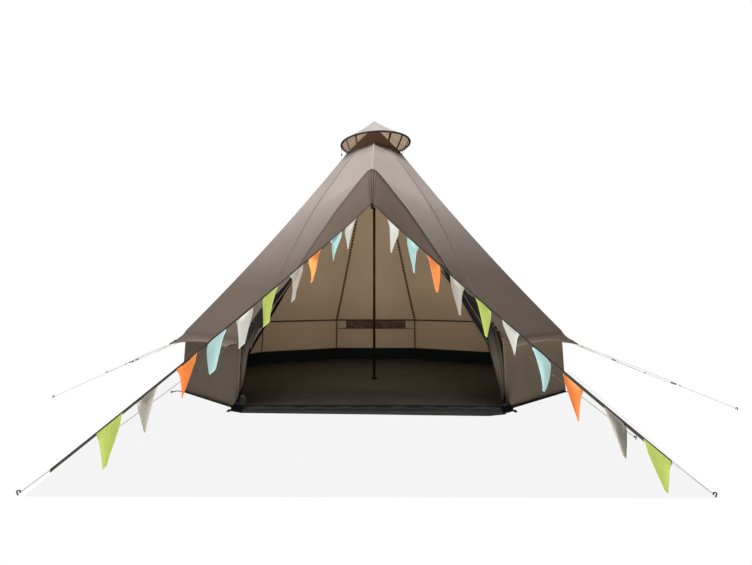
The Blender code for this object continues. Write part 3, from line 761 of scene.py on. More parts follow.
def sweep_tree():
    """A round bar along each path."""
    plan, given = geometry_plan(
        "bar_along_paths",
        (
            ("Radius", "NodeSocketFloat", 0.005),
            ("Sides", "NodeSocketInt", 10),
            ("Finish", "NodeSocketMaterial", None),
        ),
    )
    path = plan.add("GeometryNodeMeshToCurve", {}, (given["Geometry"],))
    size = {"Resolution": given["Sides"], "Radius": given["Radius"]}
    ring = plan.add("GeometryNodeCurvePrimitiveCircle", {}, size)
    bar = plan.add("GeometryNodeCurveToMesh", {}, {"Curve": path, "Profile Curve": ring, "Fill Caps": True})
    smooth = plan.add("GeometryNodeSetShadeSmooth", {}, {"Geometry": bar, "Shade Smooth": True})
    return close_plan(plan, smooth, given["Finish"])


def stitch_tree():
    """A thread's stitches, evenly along each path."""
    plan, given = geometry_plan(
        "stitches_along_paths",
        (
            ("Pitch", "NodeSocketFloat", 0.008),
            ("Length", "NodeSocketFloat", 0.0055),
            ("Thread", "NodeSocketFloat", 0.0006),
            ("Finish", "NodeSocketMaterial", None),
        ),
    )
    path = plan.add("GeometryNodeMeshToCurve", {}, (given["Geometry"],))
    steps = {"Curve": path, "Length": given["Pitch"]}
    even = plan.add("GeometryNodeResampleCurve", {"mode": "LENGTH"}, steps)
    along = plan.add("GeometryNodeInputTangent")
    turn = plan.add("FunctionNodeAlignRotationToVector", {"axis": "Z"}, {"Vector": along})
    thread = plan.add(
        "GeometryNodeMeshCylinder", {}, {"Vertices": 4, "Radius": given["Thread"], "Depth": given["Length"]}
    )
    row = plan.add("GeometryNodeInstanceOnPoints", {}, {"Points": even, "Instance": thread, "Rotation": turn})
    return close_plan(plan, row, given["Finish"])


def through_nodes(name, paths, grow, settings):
    """Runs a tree over open paths and keeps the result as a plain mesh. Each tree is grown once."""
    if grow not in TREES:
        TREES[grow] = grow()
    tree = TREES[grow]
    points, edges = [], []
    for path in paths:
        base = len(points)
        points.extend(tuple(point) for point in path)
        edges.extend((base + step, base + step + 1) for step in range(len(path) - 1))
    mesh = bpy.data.meshes.new(name + "_paths")
    mesh.from_pydata(points, edges, [])
    carrier = bpy.data.objects.new(name + "_paths", mesh)
    bpy.context.scene.collection.objects.link(carrier)
    step = carrier.modifiers.new("nodes", "NODES")
    step.node_group = tree
    for socket in tree.interface.items_tree:
        if socket.item_type == "SOCKET" and socket.in_out == "INPUT" and socket.name in settings:
            step[socket.identifier] = settings[socket.name]
    graph = bpy.context.evaluated_depsgraph_get()
    made = bpy.data.meshes.new_from_object(carrier.evaluated_get(graph))
    made.name = name
    carrier.modifiers.clear()
    bpy.data.objects.remove(carrier, do_unlink=True)
    bpy.data.meshes.remove(mesh)
    item = bpy.data.objects.new(name, made)
    bpy.context.scene.collection.objects.link(item)
    return item


TREES = {}
LOOKS = {}


def bars(name, paths, radius, material, sides):
    settings = {"Radius": radius, "Sides": sides, "Finish": material}
    return through_nodes(name, paths, sweep_tree, settings)


def stitches(name, paths, material):
    pitch = bpy.context.scene.tipi_sizes.stitch_pitch
    settings = {"Pitch": pitch, "Length": pitch * 0.68, "Thread": 0.0007, "Finish": material}
    return through_nodes(name, paths, stitch_tree, settings)


def joined(name, items):
    """One piece from several, with their materials."""
    for item in bpy.context.selected_objects:
        item.select_set(False)
    for item in items:
        item.select_set(True)
    bpy.context.view_layer.objects.active = items[0]
    bpy.ops.object.join()
    items[0].name = name
    items[0].data.name = name
    return items[0]


def placed(item, slot, *nodes):
    """Rides the piece on the tent and hides the frame's nodes that it stands for."""
    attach(item, "root")
    if nodes:
        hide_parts(*nodes)
    return item


def laid(slot, name, grids, looks, thickness, outward, nodes=(), weld=WELD):
    """A sheet of cloth in its place on the tent."""
    finishes = [look(one) for one in looks]
    return placed(cloth_from(name, grids, finishes, thickness, outward, weld), slot, *nodes)


def rod(slot, name, paths, radius, finish, sides=8):
    """A round bar, cord or binding in its place."""
    return placed(bars(name, paths, radius, look(finish), sides), slot)


def sewn(slot, name, paths):
    """Stitches in their place."""
    return placed(stitches(name, paths, look("thread")), slot)


def dressed(name, finish):
    """A node of the frame that shows as it is, in a finish."""
    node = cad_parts[name]
    node.data.materials.clear()
    node.data.materials.append(look(finish))


# The tent's surfaces


def angle_of(corner):
    return SECTOR * (corner + 1)


def bearing_point(turn, radius, height):
    """A point so far from the pole, turned from the door's side to the right."""
    return np.array((radius * math.sin(turn), -radius * math.cos(turn), height))


def on_ray(corner, radius, height):
    return bearing_point(angle_of(corner), radius, height)


def crosswise(corner):
    """The direction square to a corner's ray."""
    return np.array((math.cos(angle_of(corner)), math.sin(angle_of(corner)), 0.0))


def roof_out(corner):
    """The way out of the roof's slope at a corner or between two."""
    return on_ray(corner, 0.72, 0.70)


def wall_radius(height):
    return RADIUS * (1.0 - WALL_LEAN * height / WALL_TOP_Z)


def front_seam(height):
    """x and y of the right front seam at a height."""
    table = np.array(FRONT_SEAM)
    slopes = np.gradient(table[:, 1:], table[:, 0], axis=0)
    for row in (0, len(table) - 1):
        near = 1 if row == 0 else row - 1
        slopes[row] = (table[near, 1:] - table[row, 1:]) / (table[near, 0] - table[row, 0])
    row = int(np.clip(np.sum(table[:, 0] >= height) - 1, 0, len(table) - 2))
    start, end = table[row], table[row + 1]
    span = end[0] - start[0]
    share = (height - start[0]) / span
    return (
        start[1:] * (2 * share**3 - 3 * share**2 + 1)
        + slopes[row] * span * (share**3 - 2 * share**2 + share)
        + end[1:] * (3 * share**2 - 2 * share**3)
        + slopes[row + 1] * span * (share**3 - share**2)
    )


def roof_level(share):
    """Radius and height of a seam at a share of the way down to the wall."""
    run, fall = wall_radius(WALL_TOP_Z) - RING_RADIUS, WALL_LINE_Z - RING_Z
    length = math.hypot(run, fall)
    dip = SAG * 4.0 * share * (1.0 - share)
    return RING_RADIUS + run * share + dip * fall / length, RING_Z + fall * share - dip * run / length


def seam_line(corner, rows):
    """A seam from the vent ring to its tip, evenly down the roof and then over the skirt."""
    front = corner in (0, CORNERS - 1)
    points = []
    for share in np.linspace(0.0, 1.0, rows + 1):
        radius, height = roof_level(share)
        if front:
            x, y = front_seam(height)
            points.append(np.array((x if corner == 0 else -x, y, height)))
        else:
            points.append(on_ray(corner, radius, height))
    wall_line = points[-1]
    kink = on_ray(corner, RADIUS, KINK_Z)
    tip = on_ray(corner, RADIUS * TIP_SCALE, FRONT_TIP_Z if front else TIP_Z)
    above = wall_line + (wall_line - points[-2]) * -1.6
    skirt = curve_through((above, wall_line, kink, tip), np.linspace(1 / 3, 1.0, SKIRT_ROWS + 1))[1:]
    return np.array(points + list(skirt))


def hollow(rows, across):
    """How far up towards the skirt's kink each point of a panel is drawn, rows by columns."""
    skirt = np.zeros(rows + 1 + SKIRT_ROWS)
    skirt[rows + 1 :] = np.linspace(0.0, 1.0, SKIRT_ROWS + 1)[1:]
    return HEM_HOLLOW * skirt[:, None] * 4.0 * across * (1.0 - across)


def between(first, last, share):
    """Points at a share of the way from one row or column of points to another."""
    return first * (1.0 - share) + last * share


def roof_surface(corner, across, rows):
    """Points of a roof panel at shares across, which may differ from row to row."""
    left, right = seam_line(corner, rows), seam_line(corner + 1, rows)
    across = np.broadcast_to(np.asarray(across, float), (len(left), np.shape(across)[-1]))
    grid = between(left[:, None], right[:, None], across[..., None])
    kink = between(left[rows + 3, None], right[rows + 3, None], across[..., None])
    grid = between(grid, kink, hollow(rows, across)[..., None])
    chord = np.linalg.norm(right - left, axis=1)[:, None]
    down = np.linspace(0.0, 1.0, len(left))[:, None]
    down_roof = np.clip(np.linspace(0.0, (rows + SKIRT_ROWS) / rows, len(left)), 0.0, 1.0)[:, None]
    sizes = bpy.context.scene.tipi_sizes
    dip = sizes.panel_dip * 4.0 * across * (1.0 - across) * np.sin(math.pi * down_roof) ** 0.7
    from_seam = np.minimum(across, 1.0 - across) * chord
    pulls = 0.0022 * np.sin(from_seam / 0.105 * 2.0 * math.pi + corner) * np.exp(-from_seam / 0.22)
    pulls *= np.clip((down - 0.35) / 0.5, 0.0, 1.0) * np.sin(math.pi * np.clip(across, 0.0, 1.0)) ** 0.5
    drift = 0.003 * np.sin(down * 11.0 + across * 3.0 + corner * 1.7)
    drift = drift * np.sin(math.pi * across) * np.sin(math.pi * down_roof)
    return grid + (pulls - dip + drift)[..., None] * roof_out(corner + 0.5)


def wall_surface(corner, across, heights, inset=0.0):
    """A wall between two corners, dished a little, with the pull lines of its lower edge."""
    grid = np.empty((len(heights), len(across), 3))
    for row, height in enumerate(heights):
        radius = wall_radius(height) - inset
        left, right = on_ray(corner, radius, height), on_ray(corner + 1, radius, height)
        grid[row] = left * (1.0 - across[:, None]) + right * across[:, None]
    share = ((np.asarray(heights) - FLOOR_Z) / (WALL_TOP_Z - FLOOR_Z))[:, None].clip(0.0, 1.0)
    swell = -0.008 * np.sin(math.pi * share) * np.sin(math.pi * across)[None]
    fold = 0.0022 * np.sin(across[None] * 23.0 + corner * 1.3 + share * 1.5)
    fold = fold * np.sin(math.pi * across)[None] ** 0.5 * np.sin(math.pi * share) ** 0.6
    return grid + (swell + fold)[..., None] * on_ray(corner + 0.5, 1.0, 0.0)


def hood_rows(steps):
    """The hood's border and the front seam's points beside it, smoothly at steps from row to row."""
    heights = [
        roof_level(level / ROOF_ROWS)[1] if isinstance(level, int) else level for level in FRONT_SEAM_LEVELS
    ]
    place = np.linspace(0.0, 15.0, steps)
    place = np.unique(np.concatenate([place, [3.0, 12.0, 15.0]]))
    end = np.array((*front_seam(0.945), 0.945))
    ridge = np.array(RIDGE)
    fold = np.array((RIDGE[-1], *FOLD))
    free = np.array((FOLD[-1], *FREE_EDGE, end))
    border = np.empty((len(place), 3))
    for low, high, knots in ((0.0, 3.0, ridge), (3.0, 12.0, fold), (12.0, 15.0, free)):
        within = (place >= low) & (place <= high)
        border[within] = curve_through(knots, (place[within] - low) / (high - low))
    levels = np.interp(place, np.arange(16.0), heights)
    inner = np.array([(*front_seam(level), level) for level in levels])
    return place, border, inner


# Operators


def look(name):
    """The tent's materials, each made once."""
    if not LOOKS:
        tone = bpy.context.scene.tipi_colours
        LOOKS.update(
            # The roof is lighter towards the top, painted light, and ring adds painted shade on its right
            # side and next to the vent.
            roof=canvas("roof_canvas", tone.roof_low[:], tone.roof_top[:], reach=(1.05, 2.0), ring=True),
            hem=canvas("hem_canvas", (0.232, 0.178, 0.143), tone=0.05),
            lining=canvas(
                "canvas_lining",
                tone.roof_lining_low[:],
                tone.roof_lining_top[:],
                tone=0.06,
                reach=(0.62, 1.45),
            ),
            wall_lining=canvas("wall_lining", tone.lining[:], tone=0.06),
            # The walls grow lighter from left to right: painted light.
            wall=canvas(
                "wall_canvas", tone.wall[:], tone.wall_right[:], tone=0.08, reach=(-1.3, 1.3), axis="X"
            ),
            header=shaded_canvas("header_canvas", tone.header[:], tone.header_right_shaded[:]),
            cap=canvas("cap_canvas", tone.cap[:], tone=0.05, crease=0.0008),
            # The cap's lining is far lighter than its top cloth and glows: painted light, for daylight
            # through the cloth.
            cap_under=canvas("cap_lining", (0.62, 0.50, 0.38), tone=0.05, painted_glow=0.45),
            ridge=canvas("ridge_canvas", (0.38, 0.335, 0.30), tone=0.05),
            # The door cloth darkens towards its top: painted shade.
            door=canvas(
                "door_cloth", tone.door[:], (0.045, 0.036, 0.033), tone=0.12, crease=0.003, reach=(0.42, 0.66)
            ),
            # The bathtub's flap is far lighter than the rest of it: painted light where the lamps fall on the
            # sill.
            tub=vinyl("bathtub_vinyl", (0.0030, 0.0046, 0.0042), flap=(0.330, 0.330, 0.310), specular=0.04),
            zip=moulded("zip_tape", (0.13, 0.105, 0.10), 0.8),
            # The collar's mesh is far lighter than the other netting: painted light, for the light through it
            # under the cap.
            collar=netting("collar_netting", (0.21, 0.15, 0.115), cover=1.0),
            vinyl=vinyl("groundsheet_vinyl", tone.vinyl[:]),
            # The floor grows lighter towards the door, painted light; its flap takes a grey of its own.
            floor=vinyl("floor_vinyl", tone.floor[:], (0.0155, 0.0176, 0.0165), (0.0262, 0.0212, 0.0166)),
            net=netting("netting", tone.net[:], cover=0.85),
            vent_net=netting("vent_netting", (0.058, 0.036, 0.025), cover=1.0, mottle=3.4, coarse=34.0),
            dashes=dashed("inner_tape", (0.007, 0.003, 0.001), (0.200, 0.135, 0.080)),
            wall_tape=canvas("inner_wall_tape", (0.030, 0.015, 0.007)),
            pad=vinyl("pad_webbing", (0.0040, 0.0042, 0.0042), specular=0.0),
            rim=canvas("rim_binding", (0.115, 0.094, 0.088)),
            tape=moulded("seam_tape", tone.tape[:], 0.7),
            thread=moulded("thread", (0.30, 0.25, 0.21), 0.7),
            steel=metal("dark_steel", tone.steel[:]),
            pole=metal("black_pole", tone.pole[:], wear=0.001, specular=0.02),
            plastic=moulded("black_plastic", (0.016, 0.016, 0.017), 0.45),
            slider=moulded("slider_plastic", (0.060, 0.058, 0.055), 0.5),
            rope=cordage("guy_rope", tone.rope[:]),
            dim_rope=cordage("shaded_rope", (0.150, 0.130, 0.108)),
            ribbon=cordage("bunting_ribbon", tone.ribbon[:], (0.20, 0.16, 0.13)),
            disc=moulded("pale_plastic", (0.20, 0.20, 0.18), 0.5),
            webbing=moulded("webbing", (0.420, 0.240, 0.130), 0.85),
            black_webbing=moulded("black_webbing", (0.006, 0.006, 0.007), 0.7),
        )
    return LOOKS[name]


class TIPI_OT_stage(bpy.types.Operator):
    """White studio, soft lights, the pale ground before the door and the camera"""

    bl_idname = "tipi.stage"
    bl_label = "Stage"

    def execute(self, context):
        camera = bpy.data.cameras.new("camera")
        camera.lens, camera.sensor_width, camera.shift_y = 27.65, 36.0, 0.0177
        holder = bpy.data.objects.new("camera", camera)
        holder.location = (0.077, -6.781, 0.982)
        holder.rotation_euler = (math.radians(90.0), 0.0, math.radians(0.476))
        context.scene.collection.objects.link(holder)
        context.scene.camera = holder
        context.scene.view_settings.view_transform = "Standard"
        self.world(context)
        white = (1.0, 0.99, 0.98)
        warm = (1.0, 0.95, 0.88)
        self.lamp(context, "key", (0.0, -2.0, 6.5), (0.0, -0.6, 1.8), 2.5, 365.0, white)
        self.lamp(context, "left", (-4.5, -1.5, 3.2), (0.0, -1.0, 1.2), 3.0, 64.0, white)
        self.lamp(context, "bounce", (0.0, -3.6, -4.0), (0.0, -1.2, 1.2), 6.0, 780.0, white)
        self.lamp(context, "back", (0.6, 6.5, 3.2), (0.0, 0.0, 1.0), 3.0, 120.0, white)
        self.lamp(context, "inside", (0.0, -0.75, 1.25), (0.0, 1.6, 0.95), 1.0, 28.0, warm)
        self.lamp(context, "inside_low", (0.0, 0.3, 0.25), (0.0, 1.4, 1.6), 0.7, 7.0, warm)
        strip = self.lamp(context, "inside_front", (0.0, -0.92, 0.40), (0.0, -0.92, 0.0), 1.9, 1.95, warm)
        strip.data.shape = "RECTANGLE"
        strip.data.size_y = 0.35
        ground = solid_from(
            "ground",
            ((-1.675, -3.96, -0.003), (1.721, -3.96, -0.003), (2.55, 0.7, -0.003), (-2.7, 1.2, -0.003)),
            [(0, 1, 2, 3)],
            self.pale(),
            False,
        )
        ground.visible_diffuse = False
        ground.visible_glossy = False
        ground.visible_shadow = False
        return {"FINISHED"}

    def pale(self):
        material = bpy.data.materials.new("pale_ground")
        material.use_nodes = True
        shader = material.node_tree.nodes["Principled BSDF"]
        shader.inputs["Base Color"].default_value = (0.0, 0.0, 0.0, 1.0)
        shader.inputs["Specular IOR Level"].default_value = 0.0
        shader.inputs["Emission Color"].default_value = (0.905, 0.905, 0.905, 1.0)
        shader.inputs["Emission Strength"].default_value = 1.0
        return material

    def world(self, context):
        world = bpy.data.worlds.new("studio")
        world.use_nodes = True
        context.scene.world = world
        plan = Plan(world.node_tree)
        world.node_tree.nodes.clear()
        seen = plan.add("ShaderNodeBackground", {}, {"Color": (1.0, 1.0, 1.0, 1.0), "Strength": 1.0})
        soft = plan.add("ShaderNodeBackground", {}, {"Color": (0.97, 0.98, 1.0, 1.0), "Strength": 0.045})
        camera_ray = plan.add("ShaderNodeLightPath", {}, (), "Is Camera Ray")
        both = plan.add("ShaderNodeMixShader", {}, (camera_ray, soft, seen))
        end = world.node_tree.nodes.new("ShaderNodeOutputWorld")
        world.node_tree.links.new(both.socket, end.inputs["Surface"])

    def lamp(self, context, name, place, target, size, power, colour):
        light = bpy.data.lights.new(name, "AREA")
        light.shape = "DISK"
        light.size, light.energy, light.color = size, power, colour
        holder = bpy.data.objects.new(name, light)
        holder.location = place
        holder.rotation_euler = (Vector(target) - Vector(place)).to_track_quat("-Z", "Y").to_euler()
        holder.visible_camera = False
        context.scene.collection.objects.link(holder)
        return holder


class TIPI_OT_roof(bpy.types.Operator):
    """The roof's nine panels, their seams, the hem round the eaves and its corner patches"""

    bl_idname = "tipi.roof"
    bl_label = "Roof"

    def execute(self, context):
        sizes = context.scene.tipi_sizes
        rows, columns = sizes.rows, sizes.columns
        across = np.linspace(0.0, 1.0, columns + 1)
        panels = [roof_surface(corner, across, rows) for corner in range(CORNERS - 1)]
        grid = np.concatenate([panels[0]] + [panel[:, 1:] for panel in panels[1:]], axis=1)
        cloths = ("roof", "lining")
        nodes = ["roof_" + name for name in PANEL_NAMES]
        canopy = laid("roof_canvas", "roof_canopy", [grid], cloths, sizes.cloth, roof_side, nodes)
        self.seams(sizes, rows)
        self.hem(sizes, rows)
        self.tips(rows)
        return {"FINISHED"}

    def seams(self, sizes, rows):
        """A felled seam over each joint of the panels, its two rows of stitches and the tape under it."""
        strips, threads, tapes = [], [], []
        half, tape_half, tape_depth = sizes.seam_width / 2.0, 0.015, 0.0052
        steps, lifts = np.array([[1.0, 0.8, 0.45]]) * half, np.array([[0.0002, 0.0009, 0.0011]])
        for corner in range(CORNERS):
            spine = seam_line(corner, rows)
            out = roof_out(corner)
            columns = [spine + lifts[0, -1] * out]
            for panel, edge in ((corner - 1, 1.0), (corner, 0.0)):
                if not 0 <= panel < CORNERS - 1:
                    continue
                chord = np.linalg.norm(seam_line(panel + 1, rows) - seam_line(panel, rows), axis=1)[:, None]
                patch = roof_surface(panel, np.abs(edge - steps / chord), rows)
                patch = patch + lifts[..., None] * roof_out(panel + 0.5)
                beside = [patch[:, 0], patch[:, 1], patch[:, 2]]
                columns = beside + columns if edge else columns + beside[::-1]
                threads.append(patch[:, 1] + 0.0006 * out)
            strips.append(np.stack(columns, axis=1))
            low = spine[: rows + 1] - tape_depth * out
            tangent = np.cross(out, np.gradient(low, axis=0))
            tangent /= np.linalg.norm(tangent, axis=1, keepdims=True)
            tapes.append(np.stack([low - tangent * tape_half, low + tangent * tape_half], axis=1))
        laid("roof_canvas", "roof_seams", strips, ("roof",), 0.0008, roof_side)
        sewn("roof_canvas", "roof_seam_stitches", threads)
        laid("door_cloth", "inner_seam_tape", tapes, ("dashes",), 0.001, roof_side)

    def hem(self, sizes, rows):
        """The band folded over the eaves, with a row of stitches near each of its edges."""
        strips, threads = [], []
        across = np.linspace(0.0, 1.0, 25)
        profile = (
            (1.02, 0.0002), (1.0, 0.0022), (0.75, 0.0026), (0.5, 0.0026), (0.25, 0.0024), (0.0, 0.0022),
            (-0.01, -0.0018),
        )
        for corner in range(CORNERS - 1):
            grid = roof_surface(corner, across, rows)[:-8:-1]
            out = on_ray(corner + 0.5, 0.45, 0.85)
            reach = lengths_along(grid, 0)
            band = []
            for rise, lift in profile:
                height = rise * sizes.hem_width
                row = [
                    [np.interp(height, reach[:, column], grid[:, column, axis]) for axis in range(3)]
                    for column in range(len(across))
                ]
                band.append(np.array(row) + out * lift)
            strips.append(band)
            for edge, beside in ((1, 2), (5, 4)):
                threads.append(band[edge] * 0.8 + band[beside] * 0.2 + out * 0.0006)
        laid("roof_canvas", "eave_hem", strips, ("hem",), 0.0008, roof_side)
        sewn("roof_canvas", "eave_hem_stitches", threads)

    def tips(self, rows):
        """A patch and an eyelet at each corner of the eaves."""
        patches, rings = [], []
        eyelet = 0.006
        for corner in range(CORNERS):
            line = seam_line(corner, rows)
            tip = line[-1]
            up = unit(line[-6] - tip)
            side = crosswise(corner)
            out = np.cross(side, up)
            out *= np.sign(out[2])
            patch = []
            for share in np.linspace(0.0, 1.0, 6):
                wide = 0.006 + 0.026 * share
                centre = tip + up * (0.002 + 0.075 * share) + out * 0.0048
                patch.append([centre + side * wide * k - out * 0.0035 * k**2 for k in np.linspace(-1, 1, 7)])
            patches.append(patch)
            rings.append(circle(tip + up * 0.014 + out * 0.006, up * eyelet, side * eyelet, 17))
        laid("door_cloth", "tip_patches", patches, ("tape",), 0.0012, roof_side)
        rod("dark_steel", "tip_eyelets", rings, 0.0018, "steel")


PANEL_NAMES = (
    "right_front", "right_side", "right_rear_side", "right_back", "back",
    "left_back", "left_rear_side", "left_side", "left_front",
)


class TIPI_OT_hood(bpy.types.Operator):
    """The hood over the door, its gathered header, hem and toggle"""

    bl_idname = "tipi.hood"
    bl_label = "Hood"

    def execute(self, context):
        sizes = context.scene.tipi_sizes
        self.sides(sizes)
        self.header(sizes)
        self.toggle()
        return {"FINISHED"}

    def sides(self, sizes):
        place, border, inner = hood_rows(91)
        across = np.linspace(0.0, 1.0, 29)
        flare = np.sin(math.pi * np.clip(place / 15.0, 0.0, 1.0))
        grid = between(inner[:, None], border[:, None], across[None, :, None])
        normal = grid_normals(grid)
        normal *= np.sign(normal[..., 2:3].sum())
        chord = np.linalg.norm(border - inner, axis=1)
        dip = -0.022 * np.clip(chord / 0.6, 0.0, 1.0)[:, None] * (4.0 * across * (1.0 - across))[None]
        dip = dip * np.clip(place / 2.0, 0.0, 1.0)[:, None]
        streak = 0.004 * np.sin(across[None] * 9.0 + place[:, None] * 0.35) * np.sin(math.pi * across)[None]
        right = grid + (dip + streak * flare[:, None])[..., None] * normal
        left = mirrored(right, -1.0)[:, ::-1]
        cloths, nodes = ("roof", "lining"), ("hood_left", "hood_right")
        hood = laid("roof_canvas", "door_hood", [right, left], cloths, sizes.cloth, hood_side, nodes, 0.0004)
        ridge = curve_through((RIDGE_TOP, *RIDGE[1:]), np.linspace(0.0, 1.0, 40))
        strip = []
        half = ((0.008, -0.006), (0.007, -0.002), (0.003, 0.0018))
        profile = [(-offset, lift) for offset, lift in half] + [(0.0, 0.0026)] + list(half[::-1])
        for offset, lift in profile:
            strip.append(ridge + np.array((offset, 0.0, lift - abs(offset) * 0.4)))
        grid = np.stack(strip, axis=1)
        laid("roof_canvas", "ridge_seam", [grid], ("ridge",), 0.0008, (0.0, -0.3, 1.0))
        edges = [mirrored(border[place >= 12.0], side) for side in (1.0, -1.0)]
        rod("door_cloth", "hood_edge_cord", edges, 0.0035, "tape")

    def header(self, sizes):
        fold = np.array((RIDGE[-1], *FOLD))
        edge = np.array((HOOD_POINT, *HOOD_EDGE, FOLD[-1]))
        steps = (np.linspace(0.0, 0.13, 56)[:-1], np.linspace(0.13, 0.3, 16)[:-1], np.linspace(0.3, 1.0, 36))
        top, low = (curve_through(line, np.concatenate(steps)) for line in (fold, edge))
        top, low = (np.concatenate([mirrored(line, -1.0)[:0:-1], line]) for line in (top, low))
        down = np.linspace(0.0, 1.0, 30)[:, None]
        grid = between(top[None], low[None], down[..., None])
        x = grid[..., 0]
        rise = 1.0 - down
        spread = 0.020 + 0.045 * rise
        phase = x / (GATHER_WIDTH + GATHER_GROWTH * rise) * math.pi
        deep = 0.0024 + 0.0042 * np.sin(math.pi * np.clip(rise * 1.15, 0.0, 1.0))
        ripple = deep * np.sin(phase + GATHER_SHIFT) * np.exp(-((x / spread) ** 2))
        ripple = ripple * np.clip(down * 5.0, 0.0, 1.0)
        tuck = 0.006 * np.exp(-((down / 0.05) ** 2)) * np.clip(down * 60.0, 0.0, 1.0)
        drape = -0.012 * np.sin(math.pi * down) * np.clip(np.abs(x) / 0.12, 0.0, 1.0)
        grid[..., 1] -= ripple - drape - tuck
        cloths, nodes = ("header", "lining"), ("hood_header",)
        header = laid("roof_canvas", "hood_header_cloth", [grid], cloths, sizes.cloth, FRONT, nodes)
        binding = grid[-1] + np.array((0.0, -0.001, 0.001))
        rod("roof_canvas", "header_edge_binding", [binding], 0.0028, "header")
        thread = grid[-2] + np.array((0.0, -0.0012, 0.0))
        sewn("roof_canvas", "header_stitches", [thread])

    def toggle(self):
        """A barrel with two waists, turned from its profile of radius and height."""
        rings, faces = [], []
        sides = 20
        for radius, height in TOGGLE_PROFILE:
            centre = np.array((0.0, TOGGLE_Y, height))
            rings += circle(centre, RIGHT * radius, BACK * radius, sides + 1)[:-1]
        for ring in range(0, len(rings) - sides, sides):
            for step in range(sides):
                after = (step + 1) % sides
                faces.append((ring + step, ring + after, ring + sides + after, ring + sides + step))
        barrel = solid_from("door_toggle", rings, faces, look("plastic"))
        placed(barrel, "black_plastic", "hood_toggle")


class TIPI_OT_walls(bpy.types.Operator):
    """The upright walls with their corner seams and the mesh vent in the back"""

    bl_idname = "tipi.walls"
    bl_label = "Walls"

    def execute(self, context):
        sizes = context.scene.tipi_sizes
        grids, threads = [], []
        heights = np.linspace(WALL_TOP_Z - 0.002, FLOOR_Z + 0.0006, 25)
        for number, name in enumerate(PANEL_NAMES):
            if name == "back":
                grids += self.vented(number, heights)
            else:
                grids.append(wall_surface(number, np.linspace(0.0, 1.0, 33), heights))
        cloths, nodes = ("wall", "wall_lining"), ["wall_" + name for name in PANEL_NAMES]
        wall = laid("wall_canvas", "wall_canvas", grids, cloths, sizes.cloth, outside, nodes, 0.0003)
        strips = []
        profile = ((-0.008, -0.0022), (-0.006, 0.0008), (0.0, 0.0026), (0.006, 0.0008), (0.008, -0.0022))
        for corner in range(CORNERS):
            strip = []
            for offset, lift in profile:
                strip.append(self.upright(corner, heights, lift, offset))
            strips.append(np.array(strip).transpose(1, 0, 2))
            threads += [self.upright(corner, heights, 0.0014, offset) for offset in (-0.006, 0.006)]
        laid("wall_canvas", "wall_seams", strips, ("wall",), 0.0008, outside)
        threads.append([on_ray(corner, RADIUS + 0.001, 0.030) for corner in range(CORNERS)])
        sewn("wall_canvas", "wall_stitches", threads)
        self.vent()
        self.band()
        return {"FINISHED"}

    def upright(self, corner, heights, lift, offset):
        """A line up a corner of the walls, so far out from it and beside it."""
        return [on_ray(corner, wall_radius(z) + lift, z) + crosswise(corner) * offset for z in heights]

    def vented(self, corner, heights):
        """The back wall round its vent, as four strips that share their borders."""
        half_wall = wall_radius(0.5 * (VENT_LOW + VENT_HIGH)) * math.sin(SECTOR / 2.0)
        low, high = 0.5 - VENT_HALF / (2.0 * half_wall), 0.5 + VENT_HALF / (2.0 * half_wall)
        shares = [np.linspace(0.0, low, 5), np.linspace(low, high, 25), np.linspace(high, 1.0, 5)]
        above = np.linspace(heights[0], VENT_HIGH, 3)
        beside = np.linspace(VENT_HIGH, VENT_LOW, 6)
        below = np.linspace(VENT_LOW, heights[-1], 18)
        full = np.concatenate([above, beside[1:], below[1:]])
        grid = wall_surface(corner, np.concatenate([shares[0], shares[1][1:], shares[2][1:]]), full)
        left, right, top, bottom = 4, 28, 2, 7
        middle = grid[top : bottom + 1]
        return [grid[: top + 1], middle[:, : left + 1], middle[:, right:], grid[bottom:]]

    def depth(self, height):
        """How far back the middle of the back wall is."""
        return wall_radius(height) * math.cos(SECTOR / 2.0)

    def vent(self):
        """The mesh a little inside the wall's opening, with a binding on each side."""
        inset, lap = 0.0022, 0.003
        half = VENT_HALF + lap
        rows = []
        for height in np.linspace(VENT_HIGH + lap, VENT_LOW - lap, 9):
            sag = 0.003 * math.sin(math.pi * (height - VENT_LOW) / (VENT_HIGH - VENT_LOW))
            y = self.depth(height) - inset
            places = np.linspace(half, -half, 37)
            rows.append([(x, y - sag * (1.0 - (x / half) ** 2), height) for x in places])
        net = laid("netting", "rear_vent_net", [rows], ("vent_net",), 0.0006, BACK, ("rear_vent",))
        corners = [(-1, VENT_HIGH), (1, VENT_HIGH), (1, VENT_LOW), (-1, VENT_LOW), (-1, VENT_HIGH)]
        sides = (-0.002, 0.0062)
        loops = [[(side * VENT_HALF, self.depth(z) + out, z) for side, z in corners] for out in sides]
        rod("door_cloth", "vent_binding", loops, 0.003, "tape", 6)

    def band(self):
        """The dark tape inside: where the roof is sewn to the wall, up the corners and under the vent."""
        corners = range(CORNERS)
        joint = [[on_ray(corner, wall_radius(z) - 0.006, z) for corner in corners] for z in (0.624, 0.602)]
        tapes = [joint]
        heights = np.linspace(0.606, 0.186, 8)
        for corner in corners:
            edges = [self.upright(corner, heights, -0.008, offset) for offset in (-0.008, 0.008)]
            tapes.append(np.array(edges).transpose(1, 0, 2))
        places = np.linspace(0.585, -0.585, 5)
        tapes.append([[(x, self.depth(z) - 0.014, z) for x in places] for z in (0.488, 0.480)])
        laid("door_cloth", "inner_wall_tape", tapes, ("wall_tape",), 0.0008, inside)


